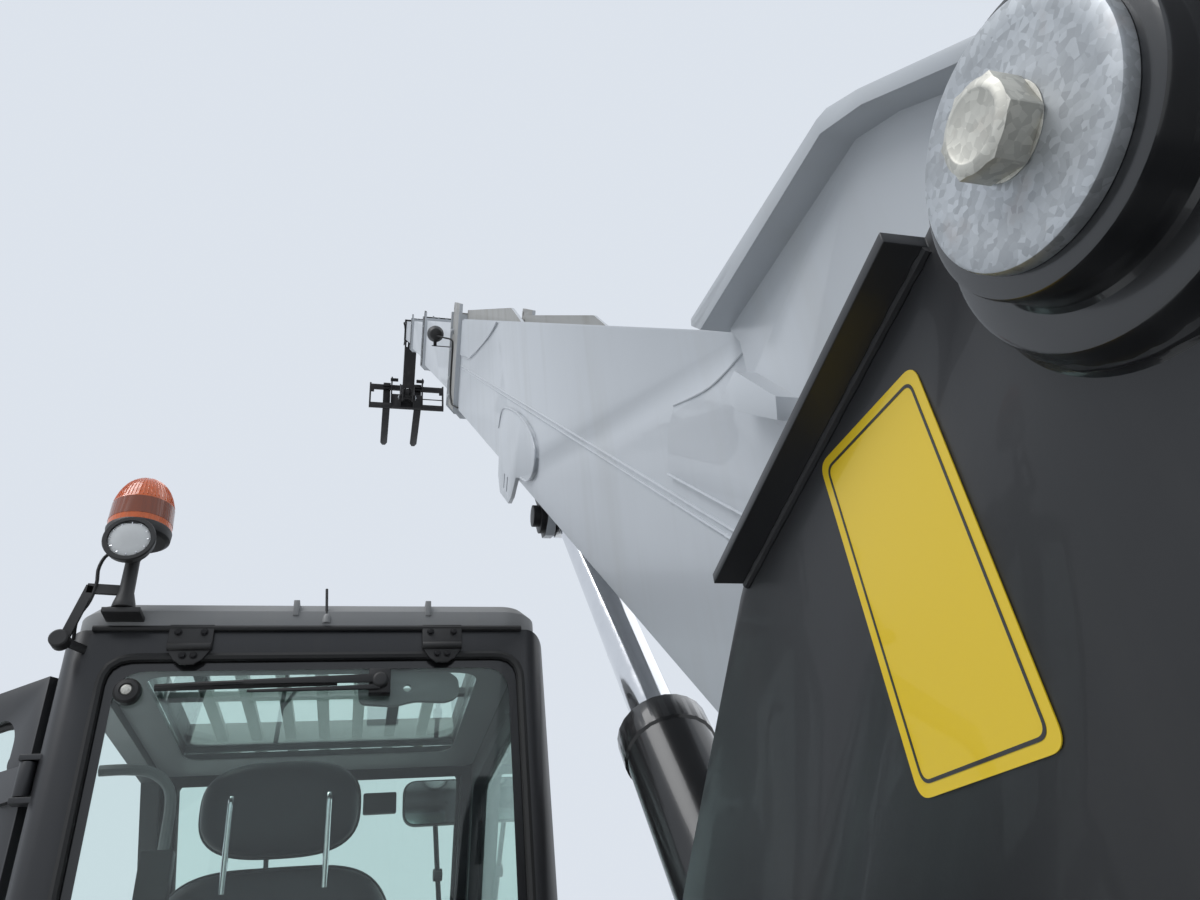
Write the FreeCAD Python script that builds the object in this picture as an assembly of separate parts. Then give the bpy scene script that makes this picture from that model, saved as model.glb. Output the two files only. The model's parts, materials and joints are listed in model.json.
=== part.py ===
"""Telescopic handler: a four-wheel machine with the cab on its left, the engine on its right, and between them a
white four-section boom that is hinged high at the rear and carries a fork carriage on a black swan neck.

Millimetres. While it is drawn, +X points forward from the rear axle, +Y to the machine's left, +Z up from the
ground, and Y = 0 is the boom's middle plane. On export everything moves together by origin_shift(), so that the
origin is at the middle of the bottom of the whole machine's box.
The boom stands raised and extended, the forks level, and the cab door open, as in the photograph.
"""
import FreeCAD, Part
import math
import os

V = FreeCAD.Vector
X_AXIS, Y_AXIS, Z_AXIS = V(1, 0, 0), V(0, 1, 0), V(0, 0, 1)
CLEAR = 0.3               # running gap at pins and bushes
PASS_GAP = 6.0            # gap between pieces that pass each other

# wheels and axles
WHEELBASE = 3070.0
WHEEL_Y = 1000.0          # middle of a tyre from the middle plane
TYRE_R = 590.0
TYRE_W = 400.0
TYRE_SHOULDER = 60.0
TREAD_DEPTH = 34.0
LUG_COUNT = 16
LUG_W = 60.0
LUG_DEG = 24.0            # slant of a tread bar
WHEEL_SIDES = 32          # flats round a tyre and its rim
RIM_R = 310.0
RIM_W = 300.0
RIM_WALL = 14.0
RIM_LIP = 22.0
RIM_LIP_T = 12.0
RIM_DISC_Y = 30.0         # disc's offset outwards from the tyre's middle
RIM_DISC_T = 20.0
RIM_HOLES = 6
RIM_HOLE_R = 36.0
RIM_HOLE_PITCH = 212.0    # radius of the circle that the holes stand on
HUB_R = 120.0
HUB_CAP_R = 70.0
KINGPIN_Y = 735.0
KINGPIN_R = 34.0
KNUCKLE_T = 46.0
KNUCKLE_H = 150.0         # kingpin's half height
KNUCKLE_BACK = 84.0       # kingpin to the knuckle's back plate
AXLE_R = 85.0
DIFF_R = 165.0
DIFF_L = 300.0
STEER_DEG = 30.0
MUDGUARD_GAP = 62.0
MUDGUARD_T = 14.0
MUDGUARD_W = 430.0
MUDGUARD_DEG = 44.0
STAY_T = 12.0
STAY_GAP = 22.0           # stay to the tyre's side

# chassis plates, which rise at the rear to carry the boom
PLATE_IN = 235.0          # inner face of a side plate from the middle plane
PLATE_T = 25.0
FRAME_TOP = 880.0
FRAME_LOW = 500.0         # underside between the axles
FRAME_OVER = 700.0        # underside over the axles
FRAME_NOSE = 760.0        # front axle to the frame's front end
FRAME_FRONT = WHEELBASE + FRAME_NOSE
FRAME_REAR = -735.0
FRAME_STEP = 250.0        # where the underside leaves the rear axle
FRAME_SHOULDER = 1250.0   # height of the plate's rear edge
TOWER_HOLES = [(-560.0, 1080.0, 70.0), (330.0, 1250.0, 90.0), (640.0, 1080.0, 90.0)]      # x, z, radius
PIVOT_X = -350.0          # boom pivot
PIVOT_Z = 1924.0
PIN_R = 40.0
PIVOT_TUBE_R = 76.0
BOSS_BIG_R = 96.0
BOSS_BIG_T = 22.0
BOSS_R = 72.0
BOSS_T = 28.0
WASHER_R = 63.0
WASHER_T = 10.0
BOLT_AF = 41.0
BOLT_HEAD = 20.0
TOWER_CORNER = (127.0, 77.0)      # corner of the tower's plate over the boss, from the pivot
TOWER_BROW = (468.0, 9.0)         # front end of its top edge
TOWER_SLOPE = (755.0, -210.0)     # where the front edge starts its long slope
TOWER_FOOT = (1500.0, -924.0)     # where that slope ends over the wheels' frame
TOWER_BACK = (-210.0, 86.0)
TOWER_CROWN = (-80.0, 138.0)
EDGE_BAR_W = 32.0         # flange along the plate's top edge, outwards from the plate
EDGE_BAR_T = 9.0

# boom
BOOM_DEG = 42.0
BOOM_TOP = -88.0          # top face from the pivot, square to the boom
BOOM_LENGTH = 4500.0      # pivot to the front of the outer section
BOOM_TAIL = 260.0         # behind the pivot
BOOM_W = 340.0
BOOM_H = 478.0
BOOM_WALL = 9.0
SECTION_STEP = 26.0       # between one section's face and the next one's
SECTION_WALLS = [8.0, 8.0, 7.0]
BEVEL = 24.0              # bevel along a section's lower edges
BEVEL_STEP = 3.0
EXTENSION = 3583.0        # stick-out of each inner section at rest
STICK_OUT = 150.0         # stick-out when drawn in
OVERLAPS = [680.0, 620.0, 560.0]      # length that stays inside at rest
COLLAR_L = [330.0, 150.0, 120.0]
COLLAR_LIP = 24.0
COLLAR_EAR = 62.0
GUIDE_L = 110.0           # part of the collar that guides the next section
FIN_H = 46.0              # hose guard that stands on top behind the first collar
FIN_T = 10.0
FIN_L = 1750.0
PAD_L = 90.0
HUMP_T = 20.0             # plates at the boom's rear that hold the pivot tube
HUMP_FLANGE = 34.0
HUMP_FLANGE_T = 12.0
DOUBLER_T = 6.0
LUG_PLATE_T = 10.0        # plate on the boom's side round the lift cylinder's lugs
LOWER_DEG = 45.0
RAISE_DEG = 20.0

# lift cylinder, in the middle plane
LIFT_EYE = (2165.0, -650.0)      # pin on the boom, along and square to it
LIFT_FOOT = (277.8, 829.3)       # pin in the chassis, forward of the rear axle and above the ground
LIFT_EXPOSED = 970.0             # rod out of the barrel, from its pin
LIFT_INSIDE = 505.0              # rod inside the barrel
LIFT_BARREL_R = 87.0
LIFT_BORE_R = 70.0
LIFT_ROD_R = 48.0
LIFT_EYE_R = 62.0
LIFT_EYE_W = 106.0
LIFT_PIN_R = 32.0
LIFT_LUG_T = 26.0
LIFT_FOOT_R = 70.0
LUG_REAR = 372.0                 # rear face of the cross plate under the lift cylinder

# swan neck, carriage and forks
NECK_PIN = (400.0, -1500.0)      # carriage pin from the last section's end, and square to the boom
NECK_GAP = 150.0          # between the neck's plates
NECK_T = 22.0
CARRIAGE_PIN_R = 30.0
CARRIAGE_W = 1300.0
CARRIAGE_H = 500.0
CARRIAGE_LOW = 120.0      # pin to the tines' underside
BAR_H = 90.0
BAR_T = 50.0
BAR_X = 150.0             # pin to the bars' rear face
CHEEK_T = 24.0
WING_Y = 256.0            # carriage's outer plates, from the middle
WING_RISE = 110.0         # their height over the top bar
HOOK_T = 22.0
HOOK_H = 48.0
TILT_LUG = (-55.0, 185.0)        # the tilt rod's pin from the carriage's, level and upright
TILT_BASE = (120.0, -480.0)      # the tilt barrel's pin from the last section's end
TILT_BARREL_R = 48.0
TILT_ROD_R = 28.0
TILT_EXPOSED = 330.0      # rod out of the barrel, from its pin
TILT_INSIDE = 310.0       # rod inside the barrel
TILT_PIN_R = 22.0
TILT_EYE_R = 40.0
TILT_EYE_W = 60.0
CROWD_DEG = 57.0
DUMP_DEG = 68.0
FORK_L = 1200.0
FORK_W = 125.0
FORK_T = 45.0
FORK_TIP_T = 12.0
FORK_SPREAD = 540.0       # between the tines' middles
FORK_SHIFT = 80.0         # both stand this far to the left

# cab
CAB_SETBACK = 1823.0      # front axle to the cab's rear face
ROOF_L = 943.0
CAB_STEP_L = 1143.0       # cab's rear face to the recess over the front wheel
CAB_L = 1453.0
CAB_REAR = WHEELBASE - CAB_SETBACK
CAB_ROOF_FRONT = CAB_REAR + ROOF_L
CAB_STEP_X = CAB_REAR + CAB_STEP_L
CAB_NOSE = CAB_REAR + CAB_L
CAB_STEP_Z = 1262.0
NOSE_H = 378.0            # recess to the windscreen's foot
CAB_BELT = CAB_STEP_Z + NOSE_H
WAIST = 218.0             # recess to the side window's sill
CAB_FLOOR = 905.0
CAB_TOP = 2350.0
CAB_RIGHT = 205.0
CAB_LEFT = 1140.0
CAB_ROUND = 40.0          # rounding of the cab's pillars
CAB_WALL = 46.0
SILL = 110.0              # frame left round a window
WINDOW_ROUND = 55.0
ROOF_T = 60.0
ROOF_RIM = 120.0
ROOF_ROUND = 80.0
GUARD_SLOTS = 8           # across the roof window, in two rows
GUARD_BAR = 28.0
GLASS_T = 6.0
DOOR_T = 42.0
DOOR_SETBACK = 53.0       # cab's rear face to the door's rear edge
DOOR_REAR = CAB_REAR + DOOR_SETBACK
DOOR_RAIL = 68.0          # recess to the door's middle rail
DOOR_FRAME = 62.0
DOOR_OPEN_DEG = 49.0
DOOR_MORE_DEG = 46.0
HINGE_R = 14.0
HINGE_PIN_R = 6.0
HINGE_H = 60.0
HINGE_Z = (1150.0, 2080.0)
BEACON_Y = CAB_LEFT - 105.0
BEACON_R = 62.0
BEACON_DOME = [(56.0, 0.95), (32.0, 0.80), (22.0, 0.62), (12.0, 0.50)]      # rise, and share of the radius kept
MIRROR_RIGHT = (250.0, 335.0, 2262.0)     # forward of the roof's front, then left and up
MIRROR_LEFT = (480.0, 1290.0, 1930.0)
MIRROR_FOOT = 44.0        # stand-off of the mirrors' feet from the cab's nose
STEER_WHEEL_R = 185.0
STEER_GRIP_R = 16.0
CONSOLE_BACK = 160.0      # steering column to the recess over the front wheel
SEAT_FRONT = 330.0        # cab's rear face to the seat
SEAT_Y = 735.0
SEAT_Z = 1290.0

# engine side and lower body
POD_REAR = 760.0
POD_FRONT = WHEELBASE - 780.0
POD_RIGHT = -1160.0
POD_LEFT = -285.0
POD_LOW = 520.0
POD_SPLIT = 1020.0        # lid's lower edge
POD_TOP = 1500.0
POD_WALL = 16.0
POD_NOSE = 120.0          # slope at the lid's front, along and down
POD_NOSE_DROP = 220.0
LOUVRE_W = 20.0
LOUVRE_H = 96.0
ENGINE = (900.0, 460.0, 620.0)   # length, width, height
TANK = (CAB_REAR - 117.0, WHEELBASE - 805.0, 285.0, 1010.0, 520.0, 880.0)
TAIL_REAR = -985.0
TAIL_LOW = 600.0
TAIL_TOP = 1230.0
TAIL_HALF = 620.0

# stabilisers
STAB_X = FRAME_FRONT + 85.0
STAB_DEG = 34.0
STAB_TUBE = 130.0
STAB_WALL = 10.0
STAB_IN = 60.0            # tube's inner end from the middle plane
STAB_L = 800.0
STAB_TOP_Z = 960.0
STAB_OUT = 520.0
STAB_PAD_R = 150.0


def fwd(d, a=BOOM_DEG):
    return V(d * math.cos(math.radians(a)), 0, d * math.sin(math.radians(a)))


def square(d, a=BOOM_DEG):
    return V(-d * math.sin(math.radians(a)), 0, d * math.cos(math.radians(a)))


PIVOT = V(PIVOT_X, 0, PIVOT_Z)


def boom_point(along, perp, y=0.0):
    """A point from its distance along the boom and square to it, both from the pivot."""
    return PIVOT + fwd(along) + square(perp) + V(0, y, 0)


def plate(points, y0, y1, place=None):
    """Closed outline in X and Z, made solid between y0 and y1."""
    pts = [V(x, y0, z) for x, z in points]
    s = Part.Face(Part.makePolygon(pts + [pts[0]])).extrude(V(0, y1 - y0, 0))
    if place:
        s.Placement = place
    return s


def boom_plate(points, y0, y1):
    """The same with the outline given along and square to the boom."""
    return plate([(boom_point(s, w).x, boom_point(s, w).z) for s, w in points], y0, y1)


def box(x0, x1, y0, y1, z0, z1):
    return Part.makeBox(x1 - x0, y1 - y0, z1 - z0, V(x0, y0, z0))


def rod(a, b, r):
    return Part.makeCylinder(r, (b - a).Length, a, b - a)


def tube(a, b, r, bore):
    return rod(a, b, r).cut(rod(a, b, bore))


def pin_y(p, r, y0, y1):
    return Part.makeCylinder(r, y1 - y0, V(p.x, y0, p.z), Y_AXIS)


def flats(r, y0, y1, sides, x=0.0, z=0.0):
    """Round bar across the machine made of flats; the radius reaches to a flat's middle."""
    reach = r / math.cos(math.pi / sides)
    turn = [2 * math.pi * (i + 0.5) / sides for i in range(sides)]
    pts = [V(x + reach * math.cos(t), y0, z + reach * math.sin(t)) for t in turn]
    return Part.Face(Part.makePolygon(pts + [pts[0]])).extrude(V(0, y1 - y0, 0))


def stud(r, z0, z1, sides, x=0.0, y=0.0):
    """The same, standing upright."""
    s = flats(r, 0, z1 - z0, sides)
    s.rotate(V(0, 0, 0), X_AXIS, 90)
    s.translate(V(x, y, z0))
    return s


def stock(a, b, r, sides=8):
    """Round bar from a to b made of flats, for what nothing turns in or slides through."""
    s = stud(r, 0, (b - a).Length, sides)
    s.Placement = FreeCAD.Placement(a, FreeCAD.Rotation(Z_AXIS, b - a)) * s.Placement
    return s


def turned(profile, sides):
    """Closed outline of radius and y, turned about Y in flats."""
    rings = []
    for r, y in profile:
        reach = r / math.cos(math.pi / sides)
        turn = [2 * math.pi * (i + 0.5) / sides for i in range(sides)]
        rings.append([V(reach * math.cos(t), y, reach * math.sin(t)) for t in turn])
    faces = []
    for a, b in zip(rings, rings[1:] + rings[:1]):
        for i in range(sides):
            j = (i + 1) % sides
            faces.append(Part.Face(Part.makePolygon([a[i], a[j], b[j], b[i], a[i]])))
    solid = Part.Solid(Part.Shell(faces))
    if solid.Volume < 0:
        solid.reverse()
    return solid


def fuse(*shapes):
    s = shapes[0].fuse(list(shapes[1:])) if len(shapes) > 1 else shapes[0]
    return s.removeSplitter()


def mirrored(s):
    return s.mirror(V(0, 0, 0), Y_AXIS)


def both(s):
    return [s, mirrored(s)]


def inset(points, d):
    """The outline with every side moved inwards by d; the points run anticlockwise."""
    out = []
    n = len(points)
    for i in range(n):
        (x0, z0), (x1, z1), (x2, z2) = points[i - 1], points[i], points[(i + 1) % n]
        a, b = (x1 - x0, z1 - z0), (x2 - x1, z2 - z1)
        la, lb = math.hypot(*a), math.hypot(*b)
        na, nb = (-a[1] / la, a[0] / la), (-b[1] / lb, b[0] / lb)
        k = d / (1 + na[0] * nb[0] + na[1] * nb[1])
        out.append((x1 + k * (na[0] + nb[0]), z1 + k * (na[1] + nb[1])))
    return out


def compound(items):
    return items[0] if len(items) == 1 else Part.makeCompound(items)


parts = {}


# wheels, in a frame with the wheel's middle at the origin and +Y outwards
def tyre():
    """Carcass with slanting bars on both halves of its tread."""
    h, r, s = TYRE_W / 2, TYRE_R - TREAD_DEPTH, TYRE_SHOULDER
    bead = RIM_W / 2
    half = [(RIM_R, bead), (RIM_R + RIM_LIP + 1, bead), (RIM_R + 105, h), (r - s, h), (r, h - s)]
    body = turned([(x, -y) for x, y in half] + [(x, y) for x, y in reversed(half)], WHEEL_SIDES)
    bars = []
    for i in range(LUG_COUNT):
        for side in (-1, 1):
            bar = box(-LUG_W / 2, LUG_W / 2, -20, h - 8, r - 75, TYRE_R + 20)
            bar.rotate(V(0, 0, 0), Z_AXIS, LUG_DEG)
            if side < 0:
                bar = mirrored(bar)
            bar.rotate(V(0, 0, 0), Y_AXIS, 360.0 * (i + (0.5 if side > 0 else 0)) / LUG_COUNT)
            bars.append(bar)
    tread = flats(TYRE_R, -h, h, WHEEL_SIDES)
    return body.fuse([bar.common(tread) for bar in bars])


def rim():
    """Barrel with a lip at each side, a pierced disc, the hub and its cap."""
    h, r, w = RIM_W / 2, RIM_R, RIM_WALL
    lip, side = r + RIM_LIP, RIM_W / 2 + RIM_LIP_T
    ring = turned([(r, -h), (lip, -h), (lip, -side), (r - w, -side), (r - w, side), (lip, side), (lip, h), (r, h)],
                  WHEEL_SIDES)
    y = RIM_DISC_Y
    disc = flats(r - w, y, y + RIM_DISC_T, WHEEL_SIDES)
    holes = []
    for i in range(RIM_HOLES):
        hole = flats(RIM_HOLE_R, y - 5, y + RIM_DISC_T + 5, 10, RIM_HOLE_PITCH)
        hole.rotate(V(0, 0, 0), Y_AXIS, 360.0 * i / RIM_HOLES)
        holes.append(hole)
    disc = disc.cut(Part.makeCompound(holes))
    hub = flats(HUB_R, -40, y + 30, 16)
    cap = flats(HUB_CAP_R, y + 25, y + 75, 12)
    return fuse(ring, disc, hub, cap)


def knuckle():
    """Carries the wheel: a fork of two ears over the axle's end, with the spindle outwards."""
    ky = KINGPIN_Y - WHEEL_Y
    ears = []
    for z in (KNUCKLE_H - KNUCKLE_T, -KNUCKLE_H):
        ears.append(stud(62, z, z + KNUCKLE_T, 12, 0, ky))
        ears.append(box(-62, 62, ky, ky + 110, z, z + KNUCKLE_T))
    back = box(-90, 90, ky + KNUCKLE_BACK, ky + KNUCKLE_BACK + 60, -KNUCKLE_H, KNUCKLE_H)
    drum = flats(118, ky + 100, ky + 160, 16)
    spindle = flats(60, ky + 120, -40 - CLEAR, 12)
    return fuse(*(ears + [back, drum, spindle]))


def axle_beam():
    """Whole axle, its diff housing in the middle and an eye for the kingpin at each end."""
    end = KINGPIN_Y
    beam = flats(AXLE_R, -end + 60, end - 60, 16)
    diff = flats(DIFF_R, -DIFF_L / 2, DIFF_L / 2, 20)
    nose = Part.makeCone(90, 60, 50, V(DIFF_R - 30, 0, 0), X_AXIS)
    eyes = []
    inner = KNUCKLE_H - KNUCKLE_T - CLEAR
    for s in (-1, 1):
        eyes.append(stud(56, -inner, inner, 12, 0, s * end))
        y = s * end
        eyes.append(box(-56, 56, min(y, y - s * 80), max(y, y - s * 80), -inner, inner))
        seat_y = s * (PLATE_IN + PLATE_T / 2)
        eyes.append(box(-110, 110, seat_y - 60, seat_y + 60, 0, FRAME_OVER - TYRE_R))
    return fuse(*([beam, diff, nose] + eyes))


def tower_point(p):
    """A point of the tower's outline, given from the pivot."""
    return (PIVOT_X + p[0], PIVOT_Z + p[1])


def chassis_frame():
    """Two side plates that rise at the rear as a tower, their ties, and the lift cylinder's lugs."""
    corner, brow = tower_point(TOWER_CORNER), tower_point(TOWER_BROW)
    outline = [(FRAME_REAR, FRAME_OVER), (FRAME_STEP, FRAME_OVER), (FRAME_STEP + 120, FRAME_LOW),
               (WHEELBASE - 755, FRAME_LOW), (WHEELBASE - 595, FRAME_OVER), (FRAME_FRONT, FRAME_OVER),
               (FRAME_FRONT, FRAME_TOP), (PIVOT_X + TOWER_FOOT[0] + 40, FRAME_TOP), tower_point(TOWER_FOOT),
               tower_point(TOWER_SLOPE), (brow[0] + 20, brow[1] - EDGE_BAR_T - 4), brow, corner,
               tower_point(TOWER_CROWN), tower_point(TOWER_BACK), (FRAME_REAR, FRAME_SHOULDER)]
    side = plate(outline, PLATE_IN, PLATE_IN + PLATE_T)
    # flange along the top edge, standing out from the plate
    bar = plate([corner, (corner[0], corner[1] - EDGE_BAR_T), (brow[0], brow[1] - EDGE_BAR_T), brow],
                PLATE_IN + PLATE_T - 1, PLATE_IN + PLATE_T + EDGE_BAR_W)
    face = PLATE_IN + PLATE_T
    boss = flats(BOSS_BIG_R, face, face + BOSS_BIG_T, 28, PIVOT_X, PIVOT_Z)
    boss2 = flats(BOSS_R, face, face + BOSS_BIG_T + BOSS_T, 28, PIVOT_X, PIVOT_Z)
    # round lightening holes under the tower
    holes = [flats(r, 0, 600, 16, x, z) for x, z, r in TOWER_HOLES]
    side = fuse(side, bar, boss, boss2).cut(Part.makeCompound([pin_y(PIVOT, PIN_R, 0, 600)] + holes))
    shelf_end, nose = WHEELBASE - 670, WHEELBASE - 370
    ties = [box(FRAME_REAR + 35, FRAME_REAR + 75, -PLATE_IN, PLATE_IN, FRAME_OVER, FRAME_SHOULDER - 50),
            box(FRAME_REAR + 95, PIVOT_X + 120, -PLATE_IN, PLATE_IN, FRAME_OVER + 90, FRAME_OVER + 115),
            box(LUG_REAR, shelf_end, -PLATE_IN, PLATE_IN, FRAME_LOW, FRAME_LOW + 20),
            box(LUG_REAR, LUG_REAR + 20, -PLATE_IN, PLATE_IN, FRAME_LOW, FRAME_LOW + 130),
            box(nose, nose + PLATE_T, -PLATE_IN, PLATE_IN, FRAME_OVER, FRAME_TOP - 10),
            box(FRAME_FRONT - PLATE_T, FRAME_FRONT, -PLATE_IN, PLATE_IN, FRAME_OVER, FRAME_TOP)]
    foot = lift_foot_point()
    lug_y = LIFT_BARREL_R + 5 + PASS_GAP
    lug = plate([(LUG_REAR, FRAME_LOW + 10), (LUG_REAR + 160, FRAME_LOW + 10), (LUG_REAR + 110, FRAME_LOW + 120),
                 (foot.x + 62, foot.z + 20), (foot.x + 30, foot.z + 60), (foot.x - 30, foot.z + 60),
                 (foot.x - 62, foot.z - 20)], lug_y, lug_y + LIFT_LUG_T)
    head = flats(LIFT_PIN_R + 16, lug_y + LIFT_LUG_T, lug_y + LIFT_LUG_T + 18, 12, foot.x, foot.z)
    return fuse(*([side, mirrored(side)] + ties + both(fuse(lug, head))))


def lift_eye_point():
    return boom_point(*LIFT_EYE)


def lift_dir():
    span = lift_eye_point() - lift_foot_point()
    return span * (1 / span.Length)


def lift_foot_point():
    return V(LIFT_FOOT[0], 0, LIFT_FOOT[1])


def pivot_pins():
    """Pin across the tower with a big washer and a bolt's head on each side."""
    out = PLATE_IN + PLATE_T + BOSS_BIG_T + BOSS_T
    pin = pin_y(PIVOT, PIN_R, -out, out)
    ends = []
    for s in (-1, 1):
        y = s * out
        ends.append(pin_y(PIVOT, WASHER_R, min(y, y + s * WASHER_T), max(y, y + s * WASHER_T)))
        y += s * WASHER_T
        r = BOLT_AF / math.sqrt(3)
        pts = [V(PIVOT.x + r * math.cos(math.radians(60 * i + 20)), y,
                 PIVOT.z + r * math.sin(math.radians(60 * i + 20))) for i in range(6)]
        ends.append(Part.Face(Part.makePolygon(pts + [pts[0]])).extrude(V(0, s * BOLT_HEAD, 0)))
    return fuse(*([pin] + ends))


def section(width, top, height, bevel, s0, s1):
    """Solid prism along the boom with its two lower edges bevelled."""
    h = width / 2
    pts = [(-h, top), (h, top), (h, top - height + bevel), (h - bevel, top - height),
           (-h + bevel, top - height), (-h, top - height + bevel)]
    pts = [boom_point(s0, w, y) for y, w in pts]
    return Part.Face(Part.makePolygon(pts + [pts[0]])).extrude(fwd(s1 - s0))


def section_size(i):
    """Width, top, height and bevel of the section that many steps in."""
    d = SECTION_STEP * i
    return BOOM_W - 2 * d, BOOM_TOP - d, BOOM_H - 2 * d, BEVEL - BEVEL_STEP * i


def grown(size, d):
    w, top, h, b = size
    return w + 2 * d, top + d, h + 2 * d, b + 0.6 * d


def section_front(i):
    return BOOM_LENGTH + EXTENSION * i


def collar(i):
    """Ring round a section's front, which also guides the next section; its two ears stand on top."""
    front, length = section_front(i), COLLAR_L[i]
    size = section_size(i)
    ring = section(*(grown(size, COLLAR_LIP) + (front - length, front)))
    rib = section(*(grown(size, COLLAR_LIP + 10) + (front - 16, front)))
    w, top = size[0] + 2 * COLLAR_LIP, size[1] + COLLAR_LIP
    ears = []
    for y in (-w / 2 + 2, w / 2 - 18):
        ear = boom_plate([(front - length, top - 6), (front, top - 6), (front, top + COLLAR_EAR - 20),
                          (front - 18, top + COLLAR_EAR), (front - length, top + COLLAR_EAR * 0.8)], y, y + 16)
        ear = ear.cut(pin_y(boom_point(front - 44, top + COLLAR_EAR - 30), 13, y - 5, y + 21))
        ears.append(ear)
    return [ring, rib], ears


def boom_section(i):
    front = section_front(i)
    size = section_size(i)
    wall = BOOM_WALL if i == 0 else SECTION_WALLS[i - 1]
    tail = -BOOM_TAIL if i == 0 else section_front(i - 1) - OVERLAPS[i - 1]
    items = [section(*(size + (tail, front)))]
    if i > 0:
        # the guide at the tail fills the space to the section round it
        outer_wall = BOOM_WALL if i == 1 else SECTION_WALLS[i - 2]
        items.append(section(*(grown(size, SECTION_STEP - outer_wall - CLEAR) + (tail, tail + PAD_L))))
    if i < 3:
        rings, ears = collar(i)
        items += rings + ears
    body = fuse(*items)
    body = body.cut(section(*(grown(size, -wall) + (tail - 1, front - (GUIDE_L if i < 3 else -1)))))
    if i < 3:
        nxt = grown(section_size(i + 1), CLEAR)
        body = body.cut(section(*(nxt + (front - GUIDE_L - 1, front + 1))))
    return body


def boom_outer():
    """Outer section with the plates that carry it at the pivot and at the lift cylinder."""
    body = boom_section(0)
    half = BOOM_W / 2
    low = BOOM_TOP - BOOM_H
    lap = half - 1
    hump = boom_plate([(-230, BOOM_TOP - 60), (-230, BOOM_TOP + 40), (-170, 60), (-100, 106), (316, 106),
                       (384, 96), (640, -82), (590, -100), (553, -142), (533, -168), (470, -180), (-180, -180)],
                      lap, lap + HUMP_T)
    t = HUMP_FLANGE_T
    flange = boom_plate([(-100, 106), (-100, 106 - t), (312, 106 - t), (378, 96 - t), (628, -82 - t + 4), (660, -86),
                         (664, -78), (388, 98), (372, 104), (320, 108)], lap, half + HUMP_T + HUMP_FLANGE)
    step = boom_plate([(430, -150), (538, -132), (566, -162), (515, -174), (420, -172)], lap, half + 44)
    rear_patch = boom_plate([(-180, -170), (590, -104), (700, -159), (834, -196), (850, -240), (831, -295),
                             (-180, -295)], lap, half + DOUBLER_T)
    side = fuse(hump, flange, step, rear_patch)
    # welded patch behind the collar, its rear edge in a curve down from the top
    patch = boom_plate([(2845, BOOM_TOP - 6), (BOOM_LENGTH - COLLAR_L[0] + 1, BOOM_TOP - 6),
                        (BOOM_LENGTH - COLLAR_L[0] + 1, -264), (3732, -264), (3300, -196), (3010, -140)],
                       lap, half + DOUBLER_T)
    # plate round the lift cylinder's lugs: rounded at the rear, a tongue under the boom
    lug_plate = boom_plate([(2304, -354), (2120, -358), (1981, -375), (1893, -402), (1862, -433), (1880, -475),
                            (1953, -509), (2060, -520), (2143, -534), (2203, -603), (2250, -632), (2433, -633),
                            (2500, -590), (2516, -529), (2560, -440), (2500, -372)], lap, half + LUG_PLATE_T)
    slots = [boom_plate([(s, -560), (s + 16, -560), (s + 16, -606), (s, -606)], lap - 5, half + 20)
             for s in (2290, 2350)]
    lug_plate = lug_plate.cut(Part.makeCompound(slots))
    lug_y = LIFT_EYE_W / 2 + PASS_GAP
    s0, w0 = LIFT_EYE
    lug = boom_plate([(s0 - 84, low + 4), (s0 - 66, w0), (s0 - 46, w0 - 46), (s0, w0 - 66), (s0 + 46, w0 - 46),
                      (s0 + 90, w0), (s0 + 420, low + 4)], lug_y, lug_y + LIFT_LUG_T)
    eye = lift_eye_point()
    boss = flats(LIFT_PIN_R + 18, lug_y, lug_y + LIFT_LUG_T + 14, 16, eye.x, eye.z)
    pin = pin_y(eye, LIFT_PIN_R, -lug_y - 60, lug_y + 60)
    # hose guards on top, from the collar back
    f = BOOM_LENGTH - COLLAR_L[0] + 2
    fin = boom_plate([(f - FIN_L, BOOM_TOP - 2), (f, BOOM_TOP - 2), (f, BOOM_TOP + FIN_H),
                      (f - FIN_L + 260, BOOM_TOP + FIN_H)], half - 30, half - 30 + FIN_T)
    tube_ = flats(PIVOT_TUBE_R, -PLATE_IN + PASS_GAP, PLATE_IN - PASS_GAP, 24, PIVOT_X, PIVOT_Z)
    pieces = [body, tube_, pin]
    for item in (side, patch, lug_plate, lug, boss, fin):
        pieces += both(item)
    return fuse(*pieces).cut(pin_y(PIVOT, PIN_R + CLEAR, -PLATE_IN, PLATE_IN))


def lift_rod():
    eye = lift_eye_point()
    d = lift_dir()
    end = eye - d * (LIFT_EXPOSED + LIFT_INSIDE)
    body = fuse(rod(end + d * 20, eye, LIFT_ROD_R), rod(end, end + d * 40, LIFT_BORE_R - CLEAR),
                flats(LIFT_EYE_R, -LIFT_EYE_W / 2, LIFT_EYE_W / 2, 20, eye.x, eye.z))
    return body.cut(pin_y(eye, LIFT_PIN_R + CLEAR, -100, 100))


def lift_barrel():
    foot, d = lift_foot_point(), lift_dir()
    top = lift_eye_point() - d * LIFT_EXPOSED
    body = fuse(stock(foot + d * 50, top, LIFT_BARREL_R, 24), stock(top - d * 60, top, LIFT_BARREL_R + 5, 24),
                flats(LIFT_FOOT_R, -LIFT_BARREL_R - 5, LIFT_BARREL_R + 5, 20, foot.x, foot.z))
    body = body.cut(rod(foot + d * 110, top - d * 45, LIFT_BORE_R))
    return body.cut(rod(foot + d * 110, top + d, LIFT_ROD_R + CLEAR))


def last_end():
    return section_front(3)


def carriage_pin():
    return boom_point(last_end() + NECK_PIN[0], NECK_PIN[1])


def tilt_base():
    return boom_point(last_end() + TILT_BASE[0], TILT_BASE[1])


def tilt_lug():
    return carriage_pin() + V(TILT_LUG[0], 0, TILT_LUG[1])


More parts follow.
